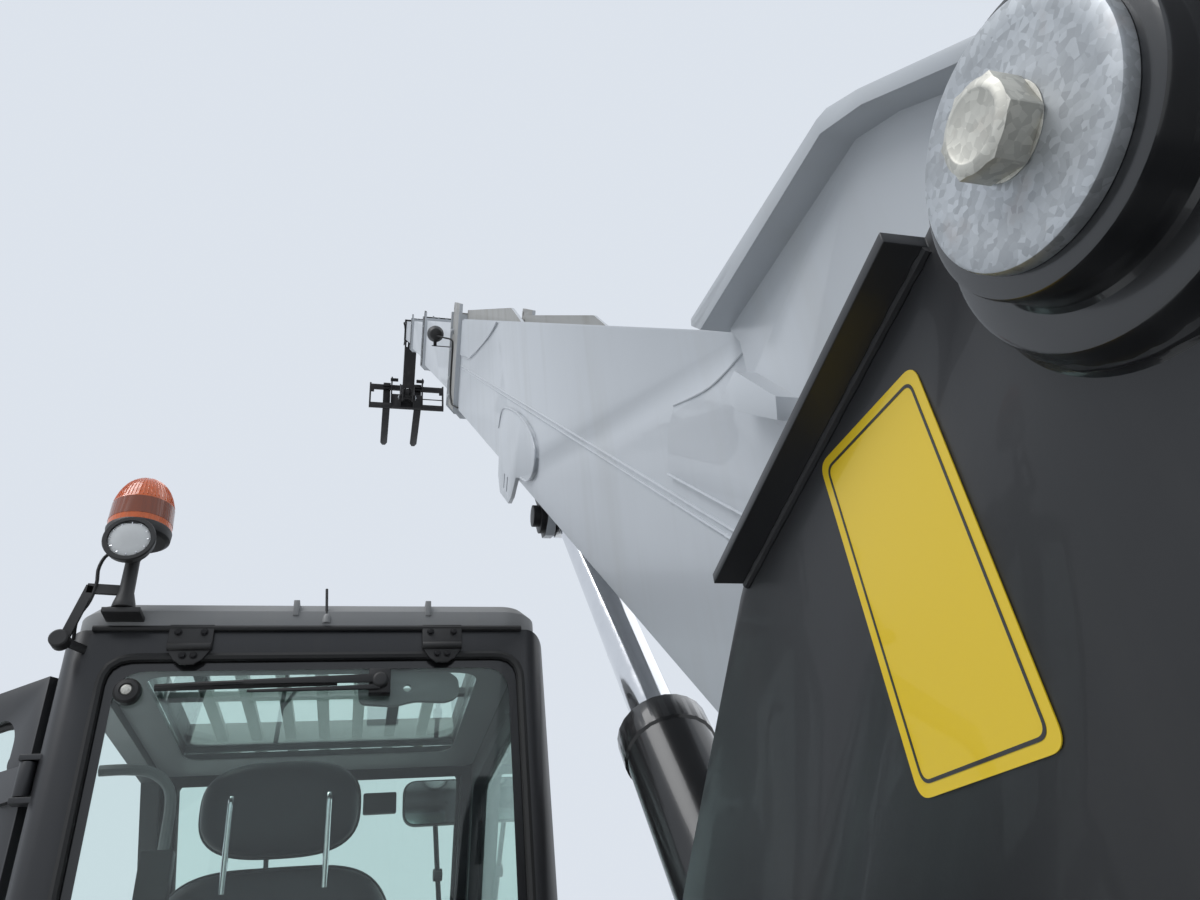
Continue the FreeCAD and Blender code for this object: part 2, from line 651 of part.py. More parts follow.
def neck():
    """Two plates joined by webs, bolted to the last section's end plate, with the carriage's pin at the foot."""
    e = last_end()
    top, low = section_size(3)[1], section_size(3)[1] - section_size(3)[2]
    ps, pw = e + NECK_PIN[0], NECK_PIN[1]
    outline = [(e, top + 30), (e + 150, top + 30), (e + 205, top + 4), (e + 240, top - 60), (e + 262, top - 170),
               (e + 250, pw + 260), (ps + 60, pw + 40), (ps + 62, pw - 30), (ps + 20, pw - 68), (ps - 60, pw - 66),
               (e + 70, pw + 190), (e + 10, low - 110), (e, low - 30)]
    y = NECK_GAP / 2
    side = boom_plate(outline, y, y + NECK_T)
    window_ = boom_plate([(e + 80, low + 60), (e + 190, low + 60), (e + 190, low + 330), (e + 80, low + 330)], 0, 300)
    side = side.cut(window_.makeChamfer(30, [k for k in window_.Edges if k.BoundBox.YLength > 100]))
    flange = section(*(grown(section_size(3), 30) + (e, e + 22)))
    back = boom_plate([(e + 10, low - 110), (e + 70, pw + 190), (e + 92, pw + 190), (e + 32, low - 110)], -y, y)
    crown = boom_plate([(e, top + 30), (e + 150, top + 30), (e + 150, top + 8), (e, top + 8)], -y, y)
    nose = boom_plate([(e + 240, top - 60), (e + 262, top - 170), (e + 244, top - 170), (e + 222, top - 60)], -y, y)
    reach = y + NECK_T + CHEEK_T + PASS_GAP + 14
    pin = pin_y(carriage_pin(), CARRIAGE_PIN_R, -reach, reach)
    base = pin_y(tilt_base(), TILT_PIN_R, -y, y)
    foot = carriage_pin()
    boss = flats(CARRIAGE_PIN_R + 20, y - 20, y + NECK_T + PASS_GAP - 3, 16, foot.x, foot.z)
    return fuse(*(both(side) + both(boss) + [flange, back, crown, nose, pin, base]))


def carriage():
    """Two bars on cheeks at the neck, with outer plates, a middle plate and posts at the ends."""
    p = carriage_pin()
    cheek_y = NECK_GAP / 2 + NECK_T + PASS_GAP
    low, high = -CARRIAGE_LOW + 5, -CARRIAGE_LOW + CARRIAGE_H
    cheek = plate([(p.x - 52, p.z - 30), (p.x - 20, p.z - 58), (p.x + BAR_X, p.z + low), (p.x + BAR_X, p.z + high),
                   (p.x + BAR_X - 40, p.z + high), (p.x - 30, p.z + 60), (p.x - 56, p.z + 20)],
                  cheek_y, cheek_y + CHEEK_T)
    cheek = cheek.cut(pin_y(p, CARRIAGE_PIN_R + CLEAR, 0, 400))
    half = CARRIAGE_W / 2
    bars = [box(p.x + BAR_X, p.x + BAR_X + BAR_T, -half, half, p.z + z, p.z + z + BAR_H)
            for z in (low, high - BAR_H)]
    post = fuse(box(p.x + BAR_X, p.x + BAR_X + 26, half - 30, half, p.z + low, p.z + high + 30),
                plate([(p.x + BAR_X, p.z + high - BAR_H - 70), (p.x + BAR_X + 26, p.z + high - BAR_H - 70),
                       (p.x + BAR_X + 26, p.z + high), (p.x + BAR_X, p.z + high)], half - 80, half))
    wing = plate([(p.x + BAR_X, p.z + low), (p.x + BAR_X, p.z + high + 30), (p.x + BAR_X - 30, p.z + high + WING_RISE),
                  (p.x + BAR_X - 95, p.z + high + WING_RISE), (p.x + BAR_X - 110, p.z + high + 60),
                  (p.x + BAR_X - 60, p.z + high - 40), (p.x + BAR_X - 50, p.z + low + 60)], WING_Y, WING_Y + CHEEK_T)
    hitch_pin = flats(30, WING_Y - 96, WING_Y + CHEEK_T + 12, 12, p.x + BAR_X - 66, p.z + high + WING_RISE - 46)
    middle = box(p.x + BAR_X - 20, p.x + BAR_X, -WING_Y, WING_Y, p.z + low, p.z + low + 280)
    q = tilt_lug()
    lug_y = TILT_EYE_W / 2 + PASS_GAP
    lug = plate([(q.x - 34, q.z - 14), (q.x - 10, q.z - 36), (p.x + BAR_X, p.z + low + BAR_H + 20), (p.x + BAR_X, q.z + 90),
                 (q.x + 10, q.z + 36), (q.x - 30, q.z + 20)], lug_y, lug_y + 20)
    web = box(p.x + BAR_X - 20, p.x + BAR_X, -cheek_y - CHEEK_T, cheek_y + CHEEK_T, p.z + low, p.z + high)
    shaft = flats(9, -half + 20, -WING_Y, 8, p.x + BAR_X + 13, p.z + low + 220)
    pieces = bars + [web, middle, shaft]
    for item in (cheek, post, wing, hitch_pin, lug):
        pieces += both(item)
    return fuse(*pieces)


def forks():
    """Two tines with hooks over the carriage's bars."""
    p = carriage_pin()
    x = p.x + BAR_X + BAR_T
    low = p.z - CARRIAGE_LOW
    top = low + CARRIAGE_H
    w = FORK_W / 2
    tines = []
    for y in (FORK_SHIFT - FORK_SPREAD / 2, FORK_SHIFT + FORK_SPREAD / 2):
        t = plate([(x, low), (x + FORK_L - 520, low), (x + FORK_L, low + FORK_T - FORK_TIP_T), (x + FORK_L, low + FORK_T),
                   (x + FORK_T + 26, low + FORK_T), (x + FORK_T, low + FORK_T + 26), (x + FORK_T, top), (x, top)],
                  y - w, y + w)
        tip = [box(x + FORK_L - 90, x + FORK_L + 10, y - w - 60, y - w, low - 10, top)]
        tip[0].rotate(V(x + FORK_L - 90, y - w, 0), Z_AXIS, 22)
        tip.append(tip[0].mirror(V(0, y, 0), Y_AXIS))
        behind = x - BAR_T - HOOK_T - 2
        hook = fuse(box(behind, x + FORK_T, y - w, y + w, top, top + HOOK_T),
                    box(behind, behind + HOOK_T, y - w, y + w, top - HOOK_H, top + HOOK_T))
        heel = box(x + FORK_T - 4, x + FORK_T + 14, y - w - 34, y + w + 34, low + FORK_T + 4, low + FORK_T + 62)
        tines.append(fuse(t.cut(Part.makeCompound(tip)), hook, heel))
    return Part.makeCompound(tines)


def tilt_geometry():
    a, b = tilt_base(), tilt_lug()
    d = b - a
    length = d.Length
    return a, b, d * (1 / length), length


def tilt_barrel():
    a, b, d, length = tilt_geometry()
    top = a + d * (length - TILT_EXPOSED)
    body = fuse(stock(a + d * 30, top, TILT_BARREL_R, 20), flats(TILT_EYE_R, -TILT_EYE_W / 2, TILT_EYE_W / 2, 16, a.x, a.z))
    body = body.cut(rod(a + d * 60, top - d * 40, TILT_BARREL_R - 8)).cut(rod(a + d * 60, top + d, TILT_ROD_R + CLEAR))
    return body.cut(pin_y(a, TILT_PIN_R + CLEAR, -100, 100))


def tilt_rod():
    a, b, d, length = tilt_geometry()
    end = b - d * (TILT_EXPOSED + TILT_INSIDE)
    return fuse(rod(end + d * 15, b, TILT_ROD_R), rod(end, end + d * 30, TILT_BARREL_R - 8 - CLEAR),
                flats(TILT_EYE_R, -TILT_EYE_W / 2, TILT_EYE_W / 2, 16, b.x, b.z))


# cab
def cab_outline(d=0.0):
    pts = [(CAB_REAR, CAB_FLOOR), (CAB_STEP_X, CAB_FLOOR), (CAB_STEP_X, CAB_STEP_Z), (CAB_NOSE, CAB_STEP_Z + 30),
           (CAB_NOSE, CAB_BELT), (CAB_ROOF_FRONT, CAB_TOP), (CAB_REAR, CAB_TOP)]
    return inset(pts, d) if d else pts


def rounded(points, y0, y1, r):
    """Closed outline in X and Z made solid between y0 and y1, its corners rounded."""
    s = plate(points, y0, y1)
    return s.makeFillet(r, [e for e in s.Edges if e.BoundBox.YLength > abs(y1 - y0) - 1])


def rounded_box(x0, x1, y0, y1, z0, z1, r):
    """Box whose four edges along X are rounded."""
    s = box(x0, x1, y0, y1, z0, z1)
    return s.makeFillet(r, [e for e in s.Edges if e.BoundBox.XLength > abs(x1 - x0) - 1])


def side_window():
    sill = CAB_STEP_Z + WAIST
    return [(CAB_REAR + SILL, sill), (CAB_NOSE - 130, sill), (CAB_NOSE - 130, CAB_BELT - 25),
            (CAB_ROOF_FRONT - 45, CAB_TOP - SILL), (CAB_REAR + SILL, CAB_TOP - SILL)]


def door_outline(d=0.0):
    pts = [(DOOR_REAR, CAB_FLOOR + 40), (CAB_STEP_X - 50, CAB_FLOOR + 40), (CAB_STEP_X - 50, CAB_STEP_Z + 20),
           (CAB_STEP_X + 90, CAB_STEP_Z + 90), (CAB_STEP_X + 90, CAB_BELT + 180),
           (CAB_ROOF_FRONT - 50, CAB_TOP - 70), (DOOR_REAR, CAB_TOP - 70)]
    return inset(pts, d) if d else pts


def rear_window():
    return (CAB_RIGHT + 50, CAB_LEFT - 75, CAB_STEP_Z + WAIST + 80, CAB_TOP - 50)


def windscreen(d0, d1, side=75.0, low=None):
    """Slanted slab between two insets of the cab's front, from the nose to the roof's edge."""
    a, b = V(CAB_NOSE, 0, CAB_BELT), V(CAB_ROOF_FRONT, 0, CAB_TOP)
    t = (b - a).normalize()
    n = V(t.z, 0, -t.x)
    p0, p1 = a + t * 50, b - t * 55
    q = [p0 - n * d0, p1 - n * d0, p1 - n * d1, p0 - n * d1]
    return plate([(v.x, v.z) for v in q], CAB_RIGHT + side, CAB_LEFT - side)


def cab_block():
    """Outside of the cab with its pillars and roof edges rounded."""
    s = plate(cab_outline(), CAB_RIGHT, CAB_LEFT)
    edges = [e for e in s.Edges if e.BoundBox.YLength < 1 and e.CenterOfMass.z > CAB_STEP_Z + 80]
    return s.makeFillet(CAB_ROUND, edges)


def cab_frame():
    """Hollow cab cut out for its windows and door, its feet on the chassis, and the door's hinge lugs."""
    shell = cab_block()
    shell = shell.cut(plate(cab_outline(CAB_WALL), CAB_RIGHT + CAB_WALL, CAB_LEFT - CAB_WALL))
    y0, y1, z0, z1 = rear_window()
    cuts = [rounded_box(CAB_REAR - 10, CAB_REAR + CAB_WALL + 10, y0, y1, z0, z1, WINDOW_ROUND),
            rounded(side_window(), CAB_RIGHT - 10, CAB_RIGHT + CAB_WALL + 10, WINDOW_ROUND),
            plate(door_outline(-4), CAB_LEFT - CAB_WALL - 10, CAB_LEFT + 10),
            windscreen(-20, CAB_WALL + 20),
            box(CAB_NOSE - CAB_WALL - 10, CAB_NOSE + 10, CAB_RIGHT + 75, CAB_LEFT - 75, CAB_STEP_Z + 90, CAB_BELT - 60),
            box(CAB_REAR + ROOF_RIM, CAB_ROOF_FRONT - ROOF_RIM - 60, CAB_RIGHT + ROOF_RIM, CAB_LEFT - ROOF_RIM,
                CAB_TOP - CAB_WALL - 10, CAB_TOP + 10)]
    shell = shell.cut(Part.makeCompound(cuts))
    x0, x1, tank_y0, tank_y1, z0, z1 = TANK
    feet = [box(x, x + 110, y, y + w, FRAME_TOP, CAB_FLOOR + 1) for x in (CAB_REAR + 60, CAB_STEP_X - 170)
            for y, w in ((PLATE_IN, PLATE_T), (tank_y1 - 260, 110))]
    hinges = []
    for z in HINGE_Z:
        x, y = DOOR_HINGE
        for z0 in (z - HINGE_H / 2 - 12, z + HINGE_H / 2 + 2):
            hinges.append(box(x - HINGE_R, x + HINGE_R, CAB_LEFT - CAB_ROUND, y + HINGE_R, z0, z0 + 10))
        hinges.append(Part.makeCylinder(HINGE_PIN_R, HINGE_H + 20, V(x, y, z - HINGE_H / 2 - 10)))
    return fuse(*([shell] + feet + hinges))


def cab_roof():
    """Cap over the cab's top with a slotted guard over the roof window."""
    x0, x1 = CAB_REAR - 6, CAB_ROOF_FRONT + 20
    cap = box(x0, x1, CAB_RIGHT + 10, CAB_LEFT - 10, CAB_TOP, CAB_TOP + ROOF_T)
    cap = cap.makeFillet(ROOF_ROUND, [e for e in cap.Edges if e.BoundBox.ZLength > ROOF_T - 1])
    cap = cap.makeChamfer(22, [e for e in cap.Edges if e.BoundBox.ZMin > CAB_TOP + ROOF_T - 1])
    wx0, wx1 = x0 + ROOF_RIM, x1 - ROOF_RIM - 60
    y0, y1 = CAB_RIGHT + ROOF_RIM, CAB_LEFT - ROOF_RIM
    cap = cap.cut(box(wx0, wx1, y0, y1, CAB_TOP - 5, CAB_TOP + ROOF_T + 5))
    z0, z1 = CAB_TOP + 12, CAB_TOP + 28
    xm, h = (wx0 + wx1) / 2, GUARD_BAR / 2
    guard = [box(xm - h, xm + h, y0 - 1, y1 + 1, z0, z1)]
    for i in range(1, GUARD_SLOTS):
        y = y0 + (y1 - y0) * i / GUARD_SLOTS
        guard.append(box(wx0 - 1, wx1 + 1, y - h, y + h, z0, z1))
    # cut corners of the outer slots
    for x, sx in ((wx0, 1), (wx1, -1)):
        for y, sy in ((y0, 1), (y1, -1)):
            pts = [V(x - sx, y - sy, z0), V(x + sx * 70, y - sy, z0), V(x - sx, y + sy * 70, z0)]
            guard.append(Part.Face(Part.makePolygon(pts + [pts[0]])).extrude(V(0, 0, z1 - z0)))
    return fuse(*([cap] + guard))


def cab_glass():
    y0, y1, z0, z1 = rear_window()
    g = CLEAR
    rear = rounded_box(CAB_REAR + 12, CAB_REAR + 12 + GLASS_T, y0 + g, y1 - g, z0 + g, z1 - g, WINDOW_ROUND - g)
    right = rounded(inset(side_window(), g), CAB_RIGHT + 14, CAB_RIGHT + 14 + GLASS_T, WINDOW_ROUND - g)
    front = windscreen(14, 14 + GLASS_T, 75 + g)
    nose = box(CAB_NOSE - 20, CAB_NOSE - 20 + GLASS_T, CAB_RIGHT + 75 + g, CAB_LEFT - 75 - g, CAB_STEP_Z + 90 + g,
               CAB_BELT - 60 - g)
    top = box(CAB_REAR + ROOF_RIM + g, CAB_ROOF_FRONT - ROOF_RIM - 60 - g, CAB_RIGHT + ROOF_RIM + g,
              CAB_LEFT - ROOF_RIM - g, CAB_TOP - 30, CAB_TOP - 30 + GLASS_T)
    return Part.makeCompound([rear, right, front, nose, top])


DOOR_HINGE = (DOOR_REAR - 22.0, CAB_LEFT + HINGE_R)


def door_y():
    return CAB_LEFT - DOOR_T


def opened(s):
    """Turns what is drawn on the shut door about its hinge to where the photograph has it."""
    s = s.copy()
    s.rotate(V(DOOR_HINGE[0], DOOR_HINGE[1], 0), Z_AXIS, DOOR_OPEN_DEG)
    return s


def door():
    y0, y1 = door_y(), CAB_LEFT
    frame = plate(door_outline(), y0, y1).cut(rounded(door_outline(DOOR_FRAME), y0 - 5, y1 + 5, WINDOW_ROUND))
    z_rail = CAB_STEP_Z + DOOR_RAIL
    rail = box(DOOR_REAR + 30, CAB_STEP_X - 80, y0, y1, z_rail, z_rail + DOOR_FRAME)
    h = HINGE_H / 2
    arms = [fuse(box(DOOR_HINGE[0], DOOR_REAR + 60, y1 + 3, y1 + 14, z - h, z + h),
                 box(DOOR_REAR + 6, DOOR_REAR + 60, y1 - 1, y1 + 4, z - h, z + h),
                 Part.makeCylinder(HINGE_R, HINGE_H, V(DOOR_HINGE[0], DOOR_HINGE[1], z - h))
                 ).cut(Part.makeCylinder(HINGE_PIN_R + CLEAR, HINGE_H + 10, V(DOOR_HINGE[0], DOOR_HINGE[1], z - h - 5)))
            for z in HINGE_Z]
    grip = CAB_STEP_X - 140
    handle = fuse(box(grip, grip + 100, y1 - 2, y1 + 10, z_rail + 12, z_rail + 50),
                  box(grip + 12, grip + 88, y1 + 8, y1 + 34, z_rail + 20, z_rail + 42))
    return fuse(*([frame, rail] + arms + [handle]))


def door_glass():
    z_rail = CAB_STEP_Z + DOOR_RAIL
    pane = rounded(inset(door_outline(DOOR_FRAME), CLEAR), CAB_LEFT - 26, CAB_LEFT - 26 + GLASS_T, WINDOW_ROUND - CLEAR)
    return pane.cut(box(DOOR_REAR - 5, CAB_NOSE, CAB_LEFT - 60, CAB_LEFT + 20, z_rail - CLEAR,
                        z_rail + DOOR_FRAME + CLEAR))


def seat():
    """Base, cushion, back and a headrest on two posts."""
    x, y, z = CAB_REAR + SEAT_FRONT, SEAT_Y, SEAT_Z
    base = box(x + 60, x + 420, y - 170, y + 170, CAB_FLOOR + CAB_WALL, z)
    cushion = box(x + 20, x + 500, y - 250, y + 250, z, z + 110)
    cushion = cushion.makeChamfer(28, [e for e in cushion.Edges if e.BoundBox.ZMin > z + 109])
    back = plate([(x + 20, z + 110), (x + 130, z + 110), (x + 40, z + 670), (x - 40, z + 670)], y - 240, y + 240)
    back = back.makeChamfer(44, [e for e in back.Edges if e.BoundBox.YLength < 100 and e.BoundBox.ZMin > z + 660])
    head = box(x - 60, x + 50, y - 162, y + 162, z + 690, z + 880)
    head = head.makeChamfer(50, [e for e in head.Edges if e.BoundBox.XLength > 100])
    posts = [stock(V(x, y + s * 95, z + 640), V(x, y + s * 95, z + 740), 8) for s in (-1, 1)]
    return fuse(*([base, cushion, back, head] + posts))


def steering_console():
    """Column with its wheel, standing on the cab's floor in front of the seat."""
    x, y = CAB_STEP_X - CONSOLE_BACK, SEAT_Y
    foot = plate([(x - 60, CAB_FLOOR + CAB_WALL), (x + 100, CAB_FLOOR + CAB_WALL), (x + 60, SEAT_Z + 210),
                  (x - 60, SEAT_Z + 250), (x - 120, SEAT_Z + 180)], y - 120, y + 120)
    g = STEER_GRIP_R
    grip = [(STEER_WHEEL_R + g * math.cos(math.radians(60 * i)), g * math.sin(math.radians(60 * i))) for i in range(6)]
    wheel = turned(grip, 24)
    w = fuse(wheel, flats(40, -10, 30, 12), box(-STEER_WHEEL_R, STEER_WHEEL_R, -8, 12, -18, 18))
    w.rotate(V(0, 0, 0), X_AXIS, -90)
    w.rotate(V(0, 0, 0), Y_AXIS, -32)
    w.translate(V(x - 110, y, SEAT_Z + 270))
    return fuse(foot, w, stock(V(x - 60, y, SEAT_Z + 160), V(x - 112, y, SEAT_Z + 266), 26, 10))


def mirror(place, w, h, feet):
    """Mirror head on its stem, which runs to each of the feet."""
    head = box(place.x - 22, place.x + 26, place.y - w / 2, place.y + w / 2, place.z - h / 2, place.z + h / 2)
    head = head.makeChamfer(16, [e for e in head.Edges if e.BoundBox.XLength > 40])
    return fuse(*([head] + [stock(foot, place + V(12, 0, 0), 9) for foot in feet]))


def cab_fittings():
    """Beacon and lamp on the rear left corner, mirrors, and the lamps on the roof's front."""
    x, y, z = CAB_REAR - 40, BEACON_Y, CAB_TOP + ROOF_T
    stalk = fuse(box(x - 14, CAB_REAR - 6, y - 25, y + 25, z - 46, z - 34), stock(V(x, y, z - 40), V(x, y, z + 120), 12),
                 stock(V(x, y, z + 116), V(x, y, z + 134), BEACON_R, 20))
    profile, base, r = [(BEACON_R - 2, 133)], 133, BEACON_R - 2
    for rise, share in BEACON_DOME:
        base, r = base + rise, r * share
        profile.append((r, base))
    dome = turned([(1, 133)] + profile + [(1, base)], 16)
    dome.rotate(V(0, 0, 0), X_AXIS, 90)
    dome.translate(V(x, y, z))
    lamp = fuse(stock(V(x - 62, y, z + 88), V(x - 22, y, z + 88), 48), stock(V(x - 24, y, z + 88), V(x, y, z + 88), 12))
    knee, tip = V(x, y + 66, z + 10), V(x, y + 92, z - 96)
    arm = fuse(stock(V(x, y, z + 6), knee, 7), stock(knee, tip, 7), stock(tip - V(14, 0, 0), tip + V(24, 0, 0), 17),
               stock(tip, V(CAB_REAR - 10, y + 60, z - 100), 7))
    front = [fuse(box(CAB_ROOF_FRONT + 20, CAB_ROOF_FRONT + 40, yy - 12, yy + 12, CAB_TOP + 5, CAB_TOP + 45),
                  stock(V(CAB_ROOF_FRONT + 40, yy, CAB_TOP + 25), V(CAB_ROOF_FRONT + 95, yy, CAB_TOP + 25), 45))
             for yy in (CAB_RIGHT + 120, CAB_LEFT - 120)]
    dx, my, mz = MIRROR_RIGHT
    out = CAB_NOSE + MIRROR_FOOT
    right = mirror(V(CAB_ROOF_FRONT + dx, my, mz), 205, 135, [V(out - 8, my - 60, CAB_BELT - 30)])
    foot = box(CAB_NOSE, out, my - 85, my - 35, CAB_BELT - 60, CAB_BELT - 10)
    dx, my, mz = MIRROR_LEFT
    left = mirror(V(CAB_ROOF_FRONT + dx, my, mz), 150, 250, [V(out - 8, CAB_LEFT - 60, CAB_BELT - 30)])
    foot_left = box(CAB_NOSE, out, CAB_LEFT - 85, CAB_LEFT - 41, CAB_BELT - 60, CAB_BELT - 10)
    beacon = fuse(stalk, lamp, arm, dome)
    return Part.makeCompound([beacon] + front + [fuse(right, foot), fuse(left, foot_left)])


def engine_tub():
    outer = box(POD_REAR, POD_FRONT, POD_RIGHT, POD_LEFT, POD_LOW, POD_SPLIT)
    inner = box(POD_REAR + POD_WALL, POD_FRONT - POD_WALL, POD_RIGHT + POD_WALL, POD_LEFT - POD_WALL,
                POD_LOW + POD_WALL, POD_SPLIT + 10)
    x = POD_REAR + 200
    inside, roof = POD_WALL + PASS_GAP, POD_TOP - POD_WALL - PASS_GAP
    wall = plate([(POD_REAR + inside, POD_SPLIT - 1), (POD_FRONT - inside, POD_SPLIT - 1),
                  (POD_FRONT - inside, POD_TOP - POD_NOSE_DROP - inside), (POD_FRONT - POD_NOSE - inside - 20, roof),
                  (POD_REAR + inside, roof)], POD_LEFT - POD_WALL, POD_LEFT)
    hy, hz = POD_HINGE
    pins = []
    for x1 in (POD_REAR + 260, POD_FRONT - 320):
        for x2 in (x1 - 22, x1 + 62):
            pins.append(box(x2, x2 + 20, POD_LEFT - POD_WALL, POD_LEFT, POD_TOP - POD_WALL - PASS_GAP - 2, hz))
            pins.append(box(x2, x2 + 20, hy - HINGE_R, POD_LEFT, hz - 12, hz + HINGE_R))
        pins.append(Part.makeCylinder(HINGE_PIN_R, 104, V(x1 - 22, hy, hz), X_AXIS))
    arms = [box(x0, x0 + 120, POD_LEFT, -PLATE_IN - PLATE_T, POD_LOW + 20, POD_LOW + 200) for x0 in (x, POD_FRONT - 320)]
    return fuse(*([outer.cut(inner), wall] + pins + arms))


def engine_block():
    l, w, h = ENGINE
    x0 = (POD_REAR + POD_FRONT) / 2 - l / 2
    y0 = (POD_RIGHT + POD_LEFT) / 2 - w / 2
    return box(x0, x0 + l, y0, y0 + w, POD_LOW + POD_WALL, POD_LOW + POD_WALL + h)


POD_HINGE = (POD_LEFT - HINGE_R, POD_TOP + 20.0)


def across(points, x0, x1):
    """Closed outline in Y and Z, made solid between x0 and x1."""
    pts = [V(x0, y, z) for y, z in points]
    return Part.Face(Part.makePolygon(pts + [pts[0]])).extrude(V(x1 - x0, 0, 0))


def engine_cover():
    """Lid over the engine: top, outer side and both ends, hinged along the boom's side, with a louvred side."""
    z0, drop, chamfer = POD_SPLIT + 4, 170, 260
    left = POD_LEFT - 2
    shell = across([(POD_RIGHT, z0), (left, z0), (left, POD_TOP), (POD_RIGHT + chamfer, POD_TOP),
                    (POD_RIGHT, POD_TOP - drop)], POD_REAR, POD_FRONT)
    w = POD_WALL
    hollow = across([(POD_RIGHT + w, z0 - 5), (left + 5, z0 - 5), (left + 5, POD_TOP - w),
                     (POD_RIGHT + chamfer + 4, POD_TOP - w), (POD_RIGHT + w, POD_TOP - drop - 4)],
                    POD_REAR + w, POD_FRONT - w)
    # the front end slopes in towards the top
    corner = [(POD_FRONT, POD_TOP - POD_NOSE_DROP), (POD_FRONT + 5, POD_TOP - POD_NOSE_DROP), (POD_FRONT + 5, POD_TOP + 5),
              (POD_FRONT - POD_NOSE, POD_TOP + 5), (POD_FRONT - POD_NOSE, POD_TOP)]
    slope = plate(corner, POD_RIGHT - 5, left + 5)
    under = plate([(x - w, z - w * 0.6) for x, z in corner], POD_RIGHT - 5, left + 5)
    shell = shell.cut(hollow.cut(under)).cut(slope)
    hy, hz = POD_HINGE
    sleeves, slots = [], []
    for x in (POD_REAR + 260, POD_FRONT - 320):
        slots.append(box(x - 28, x + 88, hy - HINGE_R - 4, left + 5, z0 - 5, POD_TOP + 5))
        sleeves.append(Part.makeCylinder(HINGE_R, 60, V(x, hy, hz), X_AXIS))
        sleeves.append(box(x, x + 60, hy - 70, hy, hz - 8, hz + 4))
        sleeves.append(box(x, x + 60, hy - 70, hy - 24, POD_TOP - 2, hz + 4))
    louvres = [box(POD_REAR + x, POD_REAR + x + LOUVRE_W, POD_RIGHT - 5, POD_RIGHT + w + 5, z, z + LOUVRE_H)
               for x in range(140, 640, 48) for z in (POD_SPLIT + 60, POD_SPLIT + 180)]
    shell = shell.cut(Part.makeCompound(slots + louvres))
    shell = fuse(*([shell] + sleeves))
    return shell.cut(Part.makeCompound([Part.makeCylinder(HINGE_PIN_R + CLEAR, 70, V(x - 5, hy, hz), X_AXIS)
                                        for x in (POD_REAR + 260, POD_FRONT - 320)]))


def fuel_tank_steps():
    x0, x1, y0, y1, z0, z1 = TANK
    tank = box(x0, x1, y0, y1 - 130, z0, z1)
    treads = [box(x0 + 300, x1 - 120, y1 - 130, y1 + 90, z, z + 24) for z in (z0, z0 + 190)]
    cheeks = [box(x, x + 10, y1 - 130, y1 + 90, z0, z0 + 214) for x in (x0 + 300, x1 - 130)]
    arms = [box(x, x + 100, PLATE_IN + PLATE_T, y0, z0 + 60, z0 + 160) for x in (x0 + 120, x1 - 260)]
    return fuse(*([tank] + treads + cheeks + arms))


def rear_body():
    body = across([(-TAIL_HALF, TAIL_LOW + 60), (-TAIL_HALF + 60, TAIL_LOW), (TAIL_HALF - 60, TAIL_LOW),
                   (TAIL_HALF, TAIL_LOW + 60), (TAIL_HALF, TAIL_TOP - 120), (TAIL_HALF - 120, TAIL_TOP),
                   (-TAIL_HALF + 120, TAIL_TOP), (-TAIL_HALF, TAIL_TOP - 120)], TAIL_REAR, FRAME_REAR)
    hitch = fuse(box(TAIL_REAR - 60, TAIL_REAR, -70, 70, TAIL_LOW + 40, TAIL_LOW + 70),
                 box(TAIL_REAR - 60, TAIL_REAR, -70, 70, TAIL_LOW + 130, TAIL_LOW + 160))
    hitch = hitch.cut(Part.makeCylinder(15, 200, V(TAIL_REAR - 32, 0, TAIL_LOW)))
    return fuse(body, hitch)


def mudguard():
    """Arch over a tyre, in the wheel's frame, on a stay from the knuckle, so that it steers with the wheel."""
    r = TYRE_R + MUDGUARD_GAP
    a, b = math.radians(90 - MUDGUARD_DEG), math.radians(90 + MUDGUARD_DEG)
    arcs = []
    for rr in (r, r + MUDGUARD_T):
        arcs.append(Part.Arc(*[V(rr * math.cos(t), 0, rr * math.sin(t)) for t in (a, (a + b) / 2, b)]).toShape())
    ends = [Part.makeLine(arcs[0].Vertexes[i].Point, arcs[1].Vertexes[i].Point) for i in (0, 1)]
    face = Part.Face(Part.Wire(Part.__sortEdges__([arcs[0], ends[0], arcs[1], ends[1]])))
    face.translate(V(0, -MUDGUARD_W / 2, 0))
    arch = face.extrude(V(0, MUDGUARD_W, 0))
    y = -TYRE_W / 2 - STAY_T - STAY_GAP
    foot_y = KINGPIN_Y - WHEEL_Y + KNUCKLE_BACK
    stay = box(-60, 60, y, y + STAY_T, KNUCKLE_H, r + MUDGUARD_T / 2)
    shelf = box(-60, 60, y, foot_y + 60, KNUCKLE_H, KNUCKLE_H + STAY_T)
    edge = box(-60, 60, y, -MUDGUARD_W / 2 + 2, r + MUDGUARD_T / 2 - STAY_T, r + MUDGUARD_T / 2)
    return fuse(arch, stay, shelf, edge)


def stabiliser_bar(l0, l1, half):
    """Square bar along the left tube's axis, between two distances from the tube's inner end."""
    b = box(-half, half, l0, l1, -half, half)
    b.rotate(V(0, 0, 0), X_AXIS, -STAB_DEG)
    b.translate(V(STAB_X, STAB_IN, STAB_TOP_Z - STAB_TUBE / 2))
    return b


def stabiliser_bore():
    return stabiliser_bar(-STAB_TUBE, STAB_L + 1, STAB_TUBE / 2 - STAB_WALL)


